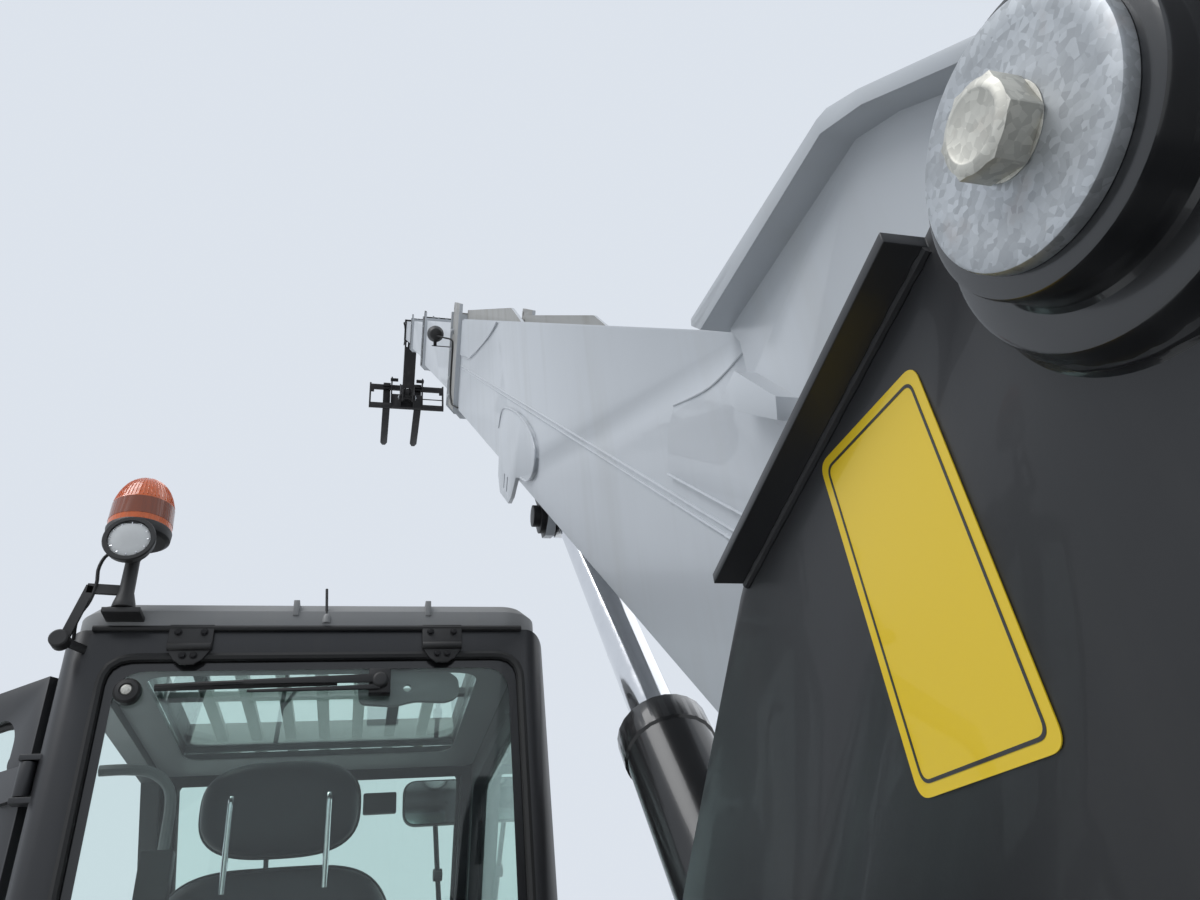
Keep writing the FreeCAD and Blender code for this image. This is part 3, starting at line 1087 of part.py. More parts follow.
def stabiliser_parts():
    """Sloping tube across the frame's front, and the leg that slides out of it with its foot plate."""
    c, s = math.cos(math.radians(STAB_DEG)), math.sin(math.radians(STAB_DEG))
    h = STAB_TUBE / 2
    bar = stabiliser_bar
    tube_ = bar(0, STAB_L, h).cut(bar(-1, STAB_L + 1, h - STAB_WALL))
    leg = bar(60, STAB_L + 70, h - STAB_WALL - CLEAR).cut(bar(59, STAB_L + 60, h - STAB_WALL - 10))
    end_y = STAB_IN + (STAB_L + 70) * c
    end_z = STAB_TOP_Z - h - (STAB_L + 70) * s
    neck_ = Part.makeCylinder(34, 110, V(STAB_X, end_y - 18, end_z - 110))
    pad = Part.makeCylinder(STAB_PAD_R, 24, V(STAB_X, end_y - 18, end_z - 120))
    leg = fuse(leg, neck_, pad)
    return tube_, leg, V(0, c, -s), end_z - 120


def stabiliser_housing():
    tube_, _, _, _ = stabiliser_parts()
    bore = stabiliser_bore()
    web = box(FRAME_FRONT, STAB_X + STAB_TUBE / 2, -PLATE_IN, PLATE_IN, FRAME_OVER + 30, FRAME_OVER + 60)
    plates = [box(FRAME_FRONT, STAB_X - STAB_TUBE / 2, y, y + 20, FRAME_OVER + 20, FRAME_TOP) for y in (120.0, -140.0)]
    return fuse(*([web] + both(tube_) + plates)).cut(Part.makeCompound(both(bore)))


def knuckles_and_wheels():
    t, r, k, m = tyre(), rim(), knuckle(), mudguard()
    for name, x, s in (("rear_left", 0.0, 1), ("rear_right", 0.0, -1), ("front_left", WHEELBASE, 1),
                       ("front_right", WHEELBASE, -1)):
        for kind, shape in (("tyre", t), ("rim", r), ("knuckle", k), ("mudguard", m)):
            item = shape if s > 0 else mirrored(shape)
            item = item.copy()
            item.translate(V(x, s * WHEEL_Y, TYRE_R))
            parts[kind + "_" + name] = item


def build():
    parts["chassis_frame"] = chassis_frame()
    parts["boom_pivot_pin"] = pivot_pins()
    for name, x in (("rear_axle", 0.0), ("front_axle", WHEELBASE)):
        axle = axle_beam()
        if x > 0:
            axle.rotate(V(0, 0, 0), Z_AXIS, 180)
        axle.translate(V(x, 0, TYRE_R))
        parts[name] = axle
    knuckles_and_wheels()
    parts["boom_outer"] = boom_outer()
    for i in (1, 2, 3):
        parts["boom_inner_%d" % i] = boom_section(i)
    parts["lift_rod"] = lift_rod()
    parts["lift_barrel"] = lift_barrel()
    parts["boom_neck"] = neck()
    parts["fork_carriage"] = carriage()
    parts["fork_tines"] = forks()
    parts["tilt_barrel"] = tilt_barrel()
    parts["tilt_rod"] = tilt_rod()
    parts["cab_frame"] = cab_frame()
    parts["cab_roof"] = cab_roof()
    parts["cab_glass"] = cab_glass()
    parts["door_frame"] = opened(door())
    parts["door_glass"] = opened(door_glass())
    parts["seat"] = seat()
    parts["steering_console"] = steering_console()
    parts["cab_fittings"] = cab_fittings()
    parts["engine_tub"] = engine_tub()
    parts["engine_block"] = engine_block()
    parts["engine_cover"] = engine_cover()
    parts["fuel_tank_steps"] = fuel_tank_steps()
    parts["rear_body"] = rear_body()
    parts["stabiliser_housing"] = stabiliser_housing()
    _, leg, _, _ = stabiliser_parts()
    parts["stabiliser_leg_left"] = leg
    parts["stabiliser_leg_right"] = mirrored(leg)


def origin_shift():
    whole = Part.makeCompound(list(parts.values())).optimalBoundingBox(False, False)
    return V(-(whole.XMin + whole.XMax) / 2, -(whole.YMin + whole.YMax) / 2, -whole.ZMin)


build()
SHIFT = origin_shift()
os.makedirs("parts", exist_ok=True)
for name, shape in parts.items():
    s = shape.copy()
    s.translate(SHIFT)
    s.exportStep("parts/" + name + ".step")
print("origin shift", SHIFT.x, SHIFT.y, SHIFT.z, "nodes", len(parts))
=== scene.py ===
"""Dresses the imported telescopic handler: a finish for every piece, and the small pieces the metal model leaves out."""

import bmesh
import bpy
import json
import math
from mathutils import Matrix, Vector
from mathutils.geometry import tessellate_polygon


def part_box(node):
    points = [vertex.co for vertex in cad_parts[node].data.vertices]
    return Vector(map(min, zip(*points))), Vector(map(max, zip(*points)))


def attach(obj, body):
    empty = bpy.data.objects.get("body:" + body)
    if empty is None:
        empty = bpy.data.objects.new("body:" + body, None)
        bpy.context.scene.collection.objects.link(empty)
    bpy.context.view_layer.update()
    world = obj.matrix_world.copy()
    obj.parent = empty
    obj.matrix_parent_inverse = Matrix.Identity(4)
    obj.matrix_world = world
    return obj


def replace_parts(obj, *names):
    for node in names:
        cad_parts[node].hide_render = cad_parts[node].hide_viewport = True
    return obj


bl_info = {
    "name": "Telescopic handler dressing",
    "version": (1, 0, 0),
    "blender": (4, 5, 0),
    "location": "View3D > Sidebar > Handler",
    "description": "Finishes, welds, plates, lamps and cab fittings for a telescopic handler",
    "category": "Object",
}

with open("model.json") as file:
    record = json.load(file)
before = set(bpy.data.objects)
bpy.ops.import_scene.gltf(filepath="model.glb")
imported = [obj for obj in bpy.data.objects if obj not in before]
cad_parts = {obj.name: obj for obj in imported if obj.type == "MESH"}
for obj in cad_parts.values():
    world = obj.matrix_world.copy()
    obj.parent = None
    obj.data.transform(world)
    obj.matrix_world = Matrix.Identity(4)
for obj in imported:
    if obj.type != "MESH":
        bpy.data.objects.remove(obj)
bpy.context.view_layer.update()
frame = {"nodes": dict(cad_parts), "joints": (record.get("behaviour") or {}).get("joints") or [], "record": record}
JOINTS = {j["name"]: j for j in frame["joints"]}
WHEELS = ("rear_left", "rear_right", "front_left", "front_right")

# places, all read from the frame: the pivot, the boom's direction and the ground under the rear axle
PIVOT = Vector(JOINTS["boom_lift"]["pos_m"])
BOOM_DIR = Vector(JOINTS["boom_extend_1"]["axis"]).normalized()
BOOM_UP = Vector((-BOOM_DIR.z, 0.0, BOOM_DIR.x))
GROUND = Vector((JOINTS["spin_rear_left"]["pos_m"][0], PIVOT.y, 0.0))
Y_AXIS = Vector((0.0, 1.0, 0.0))

# the photograph's camera, from the boom pivot: place, then yaw, pitch and roll in degrees
CAMERA_FROM_PIVOT = Vector((-0.197, 0.590, -0.3185))
CAMERA_YAW, CAMERA_PITCH, CAMERA_ROLL = -17.396, 33.105, -6.784
CAMERA_LENS, SENSOR = 26.644, 36.0


def at(x, y, z):
    """A place from the ground under the rear axle's middle: forward, left, up."""
    return GROUND + Vector((x, y, z))


def on_boom(along, square, y=0.0):
    """A place from the pivot: along the boom, square to it, and to the left."""
    return PIVOT + BOOM_DIR * along + BOOM_UP * square + Y_AXIS * y


# node sheets
class Sheet:
    """A node tree with short calls to add and wire nodes."""

    def __init__(self, tree):
        self.tree = tree

    def add(self, kind, inputs=None, **settings):
        node = self.tree.nodes.new(kind)
        for key, value in settings.items():
            setattr(node, key, value)
        for key, value in (inputs or {}).items():
            self.wire(value, node.inputs[key])
        return node

    def wire(self, value, socket):
        if isinstance(value, bpy.types.NodeSocket):
            self.tree.links.new(value, socket)
        else:
            socket.default_value = value

    def math(self, operation, a, b=0.0, c=0.0):
        return self.add("ShaderNodeMath", {0: a, 1: b, 2: c}, operation=operation).outputs[0]

    def lift(self, height):
        return self.add("ShaderNodeCombineXYZ", {2: height}).outputs[0]

    def noise(self, vector, scale, detail=4.0, rough=0.55):
        sizes = {"Vector": vector, "Scale": scale, "Detail": detail, "Roughness": rough}
        return self.add("ShaderNodeTexNoise", sizes).outputs["Fac"]

    def stretched(self, vector, scale):
        return self.add("ShaderNodeMapping", {"Vector": vector, "Scale": scale}).outputs[0]

    def ramp(self, value, low, high, to_low=0.0, to_high=1.0):
        span = {"Value": value, "From Min": low, "From Max": high, "To Min": to_low, "To Max": to_high}
        return self.add("ShaderNodeMapRange", span).outputs["Result"]

    def mix(self, share, a, b):
        node = self.add("ShaderNodeMix", data_type="RGBA")
        self.wire(share, node.inputs[0])
        self.wire(a, node.inputs[6])
        self.wire(b, node.inputs[7])
        return node.outputs[2]


def rgba(colour, alpha=1.0):
    return (colour[0], colour[1], colour[2], alpha)


def group_socket(tree, name, kind, way, default=None):
    item = tree.interface.new_socket(name=name, in_out=way, socket_type=kind)
    if default is not None:
        item.default_value = default


def weathering_group():
    """Colour, roughness and bump of an outdoor paint: mottling, rain streaks, dust on top faces and a fine skin."""
    tree = bpy.data.node_groups.new("weathering", "ShaderNodeTree")
    group_socket(tree, "Paint", "NodeSocketColor", "INPUT", (0.8, 0.8, 0.8, 1))
    group_socket(tree, "Dirt", "NodeSocketColor", "INPUT", (0.3, 0.27, 0.22, 1))
    group_socket(tree, "Streaks", "NodeSocketFloat", "INPUT", 0.2)
    group_socket(tree, "Dust", "NodeSocketFloat", "INPUT", 0.2)
    group_socket(tree, "Gloss", "NodeSocketFloat", "INPUT", 0.4)
    group_socket(tree, "Skin", "NodeSocketFloat", "INPUT", 0.05)
    group_socket(tree, "Colour", "NodeSocketColor", "OUTPUT")
    group_socket(tree, "Roughness", "NodeSocketFloat", "OUTPUT")
    group_socket(tree, "Normal", "NodeSocketVector", "OUTPUT")
    s = Sheet(tree)
    given = s.add("NodeGroupInput").outputs
    place = s.add("ShaderNodeTexCoord").outputs["Object"]
    up = s.add("ShaderNodeSeparateXYZ", {0: s.add("ShaderNodeNewGeometry").outputs["Normal"]}).outputs["Z"]
    mottle = s.noise(place, 1.7, 5.0)
    streak = s.ramp(s.noise(s.stretched(place, (14.0, 14.0, 0.9)), 1.0, 4.0), 0.5, 0.72)
    dust = s.math("MULTIPLY", s.ramp(up, 0.1, 0.95), s.ramp(s.noise(place, 5.0, 6.0), 0.35, 0.7))
    fine = s.noise(place, 260.0, 2.0)
    dirt = s.math("MULTIPLY", streak, given["Streaks"])
    dirt = s.math("MAXIMUM", dirt, s.math("MULTIPLY", dust, given["Dust"]))
    shade = s.mix(s.ramp(mottle, 0.3, 0.7, 0.0, 0.10), given["Paint"], given["Dirt"])
    colour = s.mix(dirt, shade, given["Dirt"])
    rough = s.math("ADD", given["Gloss"], s.math("MULTIPLY", dirt, 0.35))
    rough = s.math("ADD", rough, s.ramp(mottle, 0.3, 0.7, -0.05, 0.05))
    height = {"Height": fine, "Strength": given["Skin"], "Distance": 0.0006}
    out = s.add("NodeGroupOutput").inputs
    s.wire(colour, out["Colour"])
    s.wire(rough, out["Roughness"])
    s.wire(s.add("ShaderNodeBump", height).outputs[0], out["Normal"])
    return tree


def new_material(name):
    material = bpy.data.materials.new(name)
    material.use_nodes = True
    material.node_tree.nodes.clear()
    s = Sheet(material.node_tree)
    shader = s.add("ShaderNodeBsdfPrincipled")
    s.add("ShaderNodeOutputMaterial", {"Surface": shader.outputs[0]})
    return material, s, shader


def weathered(name, paint, dirt, streaks, dust, gloss, skin=0.05, metal=0.0, coat=0.0):
    """A paint, plastic or rubber with the weathering group behind it."""
    material, s, shader = new_material(name)
    group = s.add("ShaderNodeGroup", node_tree=bpy.data.node_groups["weathering"])
    for key, value in (("Paint", rgba(paint)), ("Dirt", rgba(dirt)), ("Streaks", streaks), ("Dust", dust),
                       ("Gloss", gloss), ("Skin", skin)):
        group.inputs[key].default_value = value
    s.wire(group.outputs["Colour"], shader.inputs["Base Color"])
    s.wire(group.outputs["Roughness"], shader.inputs["Roughness"])
    s.wire(group.outputs["Normal"], shader.inputs["Normal"])
    shader.inputs["Metallic"].default_value = metal
    shader.inputs["Coat Weight"].default_value = coat
    return material


def zinc(name, colour):
    """Zinc plating with its crystals, scratches and stains."""
    material, s, shader = new_material(name)
    place = s.add("ShaderNodeTexCoord").outputs["Object"]
    crystals = s.add("ShaderNodeTexVoronoi", {"Vector": place, "Scale": 260.0}).outputs["Color"]
    spangle = s.add("ShaderNodeSeparateColor", {0: crystals}).outputs[0]
    cloud = s.noise(place, 22.0, 6.0)
    stain = s.ramp(s.noise(place, 40.0, 5.0), 0.58, 0.75)
    scratch = s.ramp(s.noise(s.stretched(place, (60.0, 60.0, 900.0)), 1.0, 3.0), 0.66, 0.8)
    light = s.mix(s.ramp(spangle, 0.0, 1.0, 0.0, 1.0), rgba([c * 0.84 for c in colour]), rgba([c * 1.28 for c in colour]))
    light = s.mix(s.ramp(cloud, 0.35, 0.7, 0.0, 0.5), light, rgba([c * 0.72 for c in colour]))
    light = s.mix(s.math("MULTIPLY", stain, 0.22), light, (0.34, 0.22, 0.15, 1))
    light = s.mix(s.math("MULTIPLY", scratch, 0.5), light, rgba([c * 0.5 for c in colour]))
    s.wire(light, shader.inputs["Base Color"])
    s.wire(s.ramp(cloud, 0.3, 0.7, 0.36, 0.55), shader.inputs["Roughness"])
    bump = s.add("ShaderNodeBump", {"Height": s.math("ADD", cloud, spangle), "Strength": 0.15, "Distance": 0.0005})
    s.wire(bump.outputs[0], shader.inputs["Normal"])
    shader.inputs["Metallic"].default_value = 0.65
    return material


def chrome(name, colour):
    """Hard chrome with an oil film."""
    material, s, shader = new_material(name)
    place = s.add("ShaderNodeTexCoord").outputs["Object"]
    film = s.noise(s.stretched(place, (6.0, 6.0, 6.0)), 3.0, 5.0)
    s.wire(s.mix(s.ramp(film, 0.4, 0.8, 0.0, 0.25), rgba(colour), (0.45, 0.46, 0.5, 1)), shader.inputs["Base Color"])
    s.wire(s.ramp(film, 0.3, 0.8, 0.06, 0.2), shader.inputs["Roughness"])
    shader.inputs["Metallic"].default_value = 1.0
    return material


def tinted_glass(name, colour):
    """Thin tinted safety glass with a little dust."""
    material, s, shader = new_material(name)
    place = s.add("ShaderNodeTexCoord").outputs["Object"]
    dust = s.ramp(s.noise(place, 9.0, 6.0), 0.45, 0.8, 0.0, 0.12)
    s.wire(s.mix(dust, rgba(colour), rgba([c * 0.86 for c in colour])), shader.inputs["Base Color"])
    s.wire(s.ramp(dust, 0.0, 0.12, 0.0, 0.03), shader.inputs["Roughness"])
    shader.inputs["Transmission Weight"].default_value = 1.0
    shader.inputs["IOR"].default_value = 1.45
    return material


def lens(name, colour, glow):
    """Moulded lamp lens with fine ribs."""
    material, s, shader = new_material(name)
    place = s.add("ShaderNodeTexCoord").outputs["Object"]
    ribs = s.add("ShaderNodeTexWave", {"Vector": place, "Scale": 60.0, "Distortion": 0.0})
    s.wire(s.mix(s.ramp(ribs.outputs["Fac"], 0.0, 1.0, 0.0, 0.3), rgba(colour), rgba([c * 0.55 for c in colour])),
           shader.inputs["Base Color"])
    s.wire(s.ramp(ribs.outputs["Fac"], 0.0, 1.0, 0.12, 0.28), shader.inputs["Roughness"])
    bump = s.add("ShaderNodeBump", {"Height": ribs.outputs["Fac"], "Strength": 0.3, "Distance": 0.001})
    s.wire(bump.outputs[0], shader.inputs["Normal"])
    shader.inputs["Transmission Weight"].default_value = glow
    shader.inputs["Coat Weight"].default_value = 0.6
    return material


def cloth(name, colour):
    """Woven seat cover."""
    material, s, shader = new_material(name)
    place = s.add("ShaderNodeTexCoord").outputs["Object"]
    weave = s.noise(s.stretched(place, (1.0, 2.0, 2.0)), 300.0, 1.0)
    wear = s.noise(place, 11.0, 5.0)
    light = rgba([c * 1.5 for c in colour])
    s.wire(s.mix(s.ramp(wear, 0.3, 0.8, 0.1, 0.7), rgba(colour), light), shader.inputs["Base Color"])
    s.wire(s.ramp(wear, 0.3, 0.7, 0.40, 0.52), shader.inputs["Roughness"])
    s.wire(s.add("ShaderNodeBump", {"Height": weave, "Strength": 0.012, "Distance": 0.0002}).outputs[0],
           shader.inputs["Normal"])
    shader.inputs["Specular IOR Level"].default_value = 0.30
    return material


# colours and sizes that a user may change
class HandlerColours(bpy.types.PropertyGroup):
    boom: bpy.props.FloatVectorProperty(name="Boom", description="Boom paint", subtype="COLOR", size=3,
                                        min=0, max=1, default=(0.50, 0.53, 0.57))
    frame: bpy.props.FloatVectorProperty(name="Frame", description="Chassis and cab paint", subtype="COLOR", size=3,
                                         min=0, max=1, default=(0.013, 0.014, 0.017))
    black: bpy.props.FloatVectorProperty(name="Black", description="Boom head, carriage and forks", subtype="COLOR",
                                         size=3, min=0, max=1, default=(0.012, 0.012, 0.014))
    collar: bpy.props.FloatVectorProperty(name="Collar", description="Grey collar at the boom's front",
                                          subtype="COLOR", size=3, min=0, max=1, default=(0.30, 0.30, 0.29))
    rim: bpy.props.FloatVectorProperty(name="Rims", description="Wheel rims", subtype="COLOR", size=3,
                                       min=0, max=1, default=(0.42, 0.43, 0.44))
    plate: bpy.props.FloatVectorProperty(name="Plate", description="Blank plate beside the pivot", subtype="COLOR",
                                         size=3, min=0, max=1, default=(0.82, 0.57, 0.005))
    beacon: bpy.props.FloatVectorProperty(name="Beacon", description="Beacon's dome", subtype="COLOR", size=3,
                                          min=0, max=1, default=(0.75, 0.13, 0.01))
    glass: bpy.props.FloatVectorProperty(name="Glass", description="Cab windows", subtype="COLOR", size=3,
                                         min=0, max=1, default=(0.80, 0.92, 0.88))


class HandlerSizes(bpy.types.PropertyGroup):
    edge: bpy.props.FloatProperty(name="Edge", description="Rounding of the steel's edges", unit="LENGTH",
                                  default=0.0025, min=0.0005, max=0.01)
    weld: bpy.props.FloatProperty(name="Weld", description="Width of a weld bead", unit="LENGTH",
                                  default=0.010, min=0.004, max=0.03)


class HandlerStage(bpy.types.PropertyGroup):
    sky: bpy.props.FloatProperty(name="Sky light", description="Strength of the even light", default=0.62, min=0, max=3)
    key: bpy.props.FloatProperty(name="Key light", description="Strength of the soft key lamp", default=1.5, min=0,
                                 max=10)
    backdrop: bpy.props.FloatVectorProperty(name="Backdrop", description="What the camera sees behind", subtype="COLOR",
                                            size=3, min=0, max=1, default=(0.72, 0.77, 0.84))


def colours():
    return bpy.context.scene.handler_colours


def sizes():
    return bpy.context.scene.handler_sizes


def finish(name):
    return bpy.data.materials[name]


def make_finishes():
    weathering_group()
    c = colours()
    grime = (0.20, 0.18, 0.15)
    for name, paint, dirt, streaks, dust, gloss, skin, coat in (
            ("boom paint", c.boom, (0.40, 0.40, 0.38), 0.16, 0.16, 0.34, 0.05, 0.15),
            ("frame paint", c.frame, (0.10, 0.095, 0.09), 0.10, 0.20, 0.40, 0.06, 0.10),
            ("cab paint", c.frame, (0.10, 0.095, 0.09), 0.08, 0.18, 0.38, 0.06, 0.10),
            ("black paint", c.black, (0.13, 0.12, 0.11), 0.10, 0.22, 0.42, 0.08, 0.0),
            ("gloss black", (0.006, 0.006, 0.007), (0.10, 0.10, 0.10), 0.05, 0.10, 0.20, 0.02, 0.35),
            ("gloss frame", [v * 0.6 for v in c.frame], (0.10, 0.10, 0.10), 0.05, 0.12, 0.20, 0.03, 0.5),
            ("collar paint", c.collar, grime, 0.25, 0.25, 0.45, 0.08, 0.0),
            ("rim paint", c.rim, grime, 0.25, 0.35, 0.40, 0.08, 0.0),
            ("cast black", (0.016, 0.016, 0.018), (0.17, 0.15, 0.12), 0.2, 0.5, 0.55, 0.5, 0.0),
            ("tyre rubber", (0.020, 0.020, 0.021), (0.16, 0.145, 0.12), 0.15, 0.35, 0.78, 0.35, 0.0),
            ("black plastic", (0.014, 0.014, 0.015), (0.14, 0.13, 0.12), 0.05, 0.25, 0.52, 0.25, 0.0),
            ("roof plastic", (0.22, 0.225, 0.23), (0.33, 0.32, 0.30), 0.15, 0.30, 0.48, 0.12, 0.0),
            ("seal rubber", (0.010, 0.010, 0.011), (0.12, 0.12, 0.11), 0.05, 0.15, 0.62, 0.2, 0.0),
            ("engine iron", (0.05, 0.05, 0.052), (0.14, 0.12, 0.10), 0.2, 0.3, 0.55, 0.4, 0.0),
            ("yellow plate", c.plate, (0.60, 0.50, 0.10), 0.04, 0.05, 0.30, 0.02, 0.3),
            ("plate print", (0.012, 0.012, 0.012), (0.1, 0.1, 0.1), 0.02, 0.05, 0.35, 0.02, 0.2)):
        weathered(name, paint, dirt, streaks, dust, gloss, skin, 0.0, coat)
    finish("black paint").node_tree.nodes["Principled BSDF"].inputs["Specular IOR Level"].default_value = 0.2
    weathered("bare steel", (0.30, 0.29, 0.28), (0.20, 0.13, 0.08), 0.3, 0.2, 0.38, 0.2, 0.8)
    zinc("zinc", (0.42, 0.44, 0.46))
    zinc("bolt zinc", (0.56, 0.55, 0.50))
    chrome("chrome", (0.72, 0.73, 0.75))
    chrome("mirror", (0.80, 0.82, 0.83))
    tinted_glass("cab glass", c.glass)
    cloth("seat cloth", (0.007, 0.008, 0.011))
    lens("amber lens", c.beacon, 0.1)
    lens("dark amber", [v * 0.30 for v in c.beacon], 0.0)
    lens("clear lens", (0.75, 0.77, 0.78), 0.2)
    lens("red lens", (0.45, 0.01, 0.01), 0.1)


# meshes
def put(name, bm, material, body, smooth=True, edge=0.0):
    """Makes the finished piece from a mesh in row coordinates, and hangs it on its body."""
    mesh = bpy.data.meshes.new(name)
    bmesh.ops.recalc_face_normals(bm, faces=bm.faces)
    bm.to_mesh(mesh)
    bm.free()
    return finish_piece(name, mesh, material, body, smooth, edge)


def finish_piece(name, mesh, material, body, smooth=True, edge=0.0):
    obj = bpy.data.objects.new(name, mesh)
    bpy.context.scene.collection.objects.link(obj)
    for one in material if isinstance(material, tuple) else (material,):
        mesh.materials.append(finish(one))
    if edge:
        bevel = obj.modifiers.new("edges", "BEVEL")
        bevel.width, bevel.segments, bevel.limit_method = edge, 2, "ANGLE"
        bevel.angle_limit = math.radians(35)
        bake(obj)
    if smooth:
        for face in obj.data.polygons:
            face.use_smooth = True
        obj.data.set_sharp_from_angle(angle=math.radians(32))
    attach(obj, body)
    return obj


def bake(obj):
    """Replaces an object's mesh by what its modifiers make of it."""
    bpy.context.view_layer.update()
    shape = bpy.data.meshes.new_from_object(obj.evaluated_get(bpy.context.evaluated_depsgraph_get()))
    obj.modifiers.clear()
    obj.data = shape


def dressed_copy(node, material, body, edge):
    """The CAD node again with merged faces and rounded edges, in its place."""
    bm = bmesh.new()
    bm.from_mesh(frame["nodes"][node].data)
    bmesh.ops.remove_doubles(bm, verts=bm.verts, dist=1e-5)
    bmesh.ops.dissolve_limit(bm, angle_limit=math.radians(0.6), verts=bm.verts, edges=bm.edges)
    obj = put(node + "_dressed", bm, material, body, True, edge)
    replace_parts(obj, node)
    return obj


# shapes, all in the frame's own coordinates
def lathe(bm, origin, axis, profile, n=32, closed=False):
    """Spins rows of (distance along the axis, radius) about the axis."""
    axis = axis.normalized()
    side = axis.orthogonal().normalized()
    turn = axis.cross(side)
    rings = []
    for along, radius in profile:
        centre = origin + axis * along
        steps = range(n) if radius > 1e-6 else range(1)
        rings.append([bm.verts.new(centre + (side * math.cos(math.tau * i / n) + turn * math.sin(math.tau * i / n))
                                   * radius) for i in steps])
    for a, b in zip(rings, rings[1:] + (rings[:1] if closed else [])):
        for i in range(n):
            j = (i + 1) % n
            corners = list(dict.fromkeys((a[i % len(a)], a[j % len(a)], b[j % len(b)], b[i % len(b)])))
            if len(corners) > 2:
                bm.faces.new(corners)


def prism(bm, outline, depth, holes=()):
    """A flat outline, with its holes, pushed out by a vector."""
    loops = [list(outline)] + [list(hole) for hole in holes]
    flat = [v for loop in loops for v in loop]
    low = [bm.verts.new(v) for v in flat]
    high = [bm.verts.new(v + depth) for v in flat]
    for tri in tessellate_polygon(loops):
        bm.faces.new([low[i] for i in tri])
        bm.faces.new([high[i] for i in reversed(tri)])
    start = 0
    for loop in loops:
        n = len(loop)
        for i in range(n):
            a, b = start + i, start + (i + 1) % n
            bm.faces.new((low[a], low[b], high[b], high[a]))
        start += n


def block(bm, low, high):
    """Upright box between two corners."""
    x0, y0, z0 = low
    x1, y1, z1 = high
    prism(bm, [Vector((x0, y0, z0)), Vector((x1, y0, z0)), Vector((x1, y1, z0)), Vector((x0, y1, z0))],
          Vector((0, 0, z1 - z0)))


def arc_loop(centre, a, b, radius, n=24):
    """Circle of points in the plane of two unit vectors."""
    return [centre + (a * math.cos(math.tau * i / n) + b * math.sin(math.tau * i / n)) * radius for i in range(n)]


def round_corners(points, radius, n=5):
    """A closed outline with each corner turned into an arc."""
    out = []
    for i, corner in enumerate(points):
        before = (points[i - 1] - corner)
        after = (points[(i + 1) % len(points)] - corner)
        reach = min(radius, before.length * 0.45, after.length * 0.45)
        start, end = corner + before.normalized() * reach, corner + after.normalized() * reach
        for k in range(n + 1):
            t = k / n
            out.append(start * (1 - t) ** 2 + corner * 2 * t * (1 - t) + end * t ** 2)
    return out


def wires(paths, closed=False):
    """A mesh of edges only, one chain for each path."""
    mesh = bpy.data.meshes.new("paths")
    points, edges = [], []
    for path in paths:
        first = len(points)
        points += [tuple(p) for p in path]
        edges += [(first + i, first + i + 1) for i in range(len(path) - 1)]
        if closed:
            edges.append((len(points) - 1, first))
    mesh.from_pydata(points, edges, [])
    return mesh


# geometry node trees
def grown(tree_name, mesh, **values):
    """Runs one of the trees on a mesh and gives back what it makes."""
    tree = bpy.data.node_groups[tree_name]
    obj = bpy.data.objects.new("grown", mesh)
    bpy.context.scene.collection.objects.link(obj)
    modifier = obj.modifiers.new("grow", "NODES")
    modifier.node_group = tree
    for item in tree.interface.items_tree:
        if item.in_out == "INPUT" and item.name.lower() in values:
            modifier[item.identifier] = values[item.name.lower()]
    bpy.context.view_layer.update()
    shape = bpy.data.meshes.new_from_object(obj.evaluated_get(bpy.context.evaluated_depsgraph_get()))
    obj.modifiers.clear()
    bpy.data.objects.remove(obj)
    return shape


def new_tree(name, sockets):
    tree = bpy.data.node_groups.new(name, "GeometryNodeTree")
    group_socket(tree, "Geometry", "NodeSocketGeometry", "INPUT")
    for label, kind, default in sockets:
        group_socket(tree, label, "NodeSocket" + kind, "INPUT", default)
    group_socket(tree, "Material", "NodeSocketMaterial", "INPUT")
    group_socket(tree, "Geometry", "NodeSocketGeometry", "OUTPUT")
    s = Sheet(tree)
    return s, s.add("NodeGroupInput").outputs


def end_tree(s, geometry, material):
    real = s.add("GeometryNodeRealizeInstances", {"Geometry": geometry}).outputs[0]
    done = s.add("GeometryNodeSetMaterial", {"Geometry": real, "Material": material}).outputs[0]
    s.wire(done, s.add("NodeGroupOutput").inputs[0])


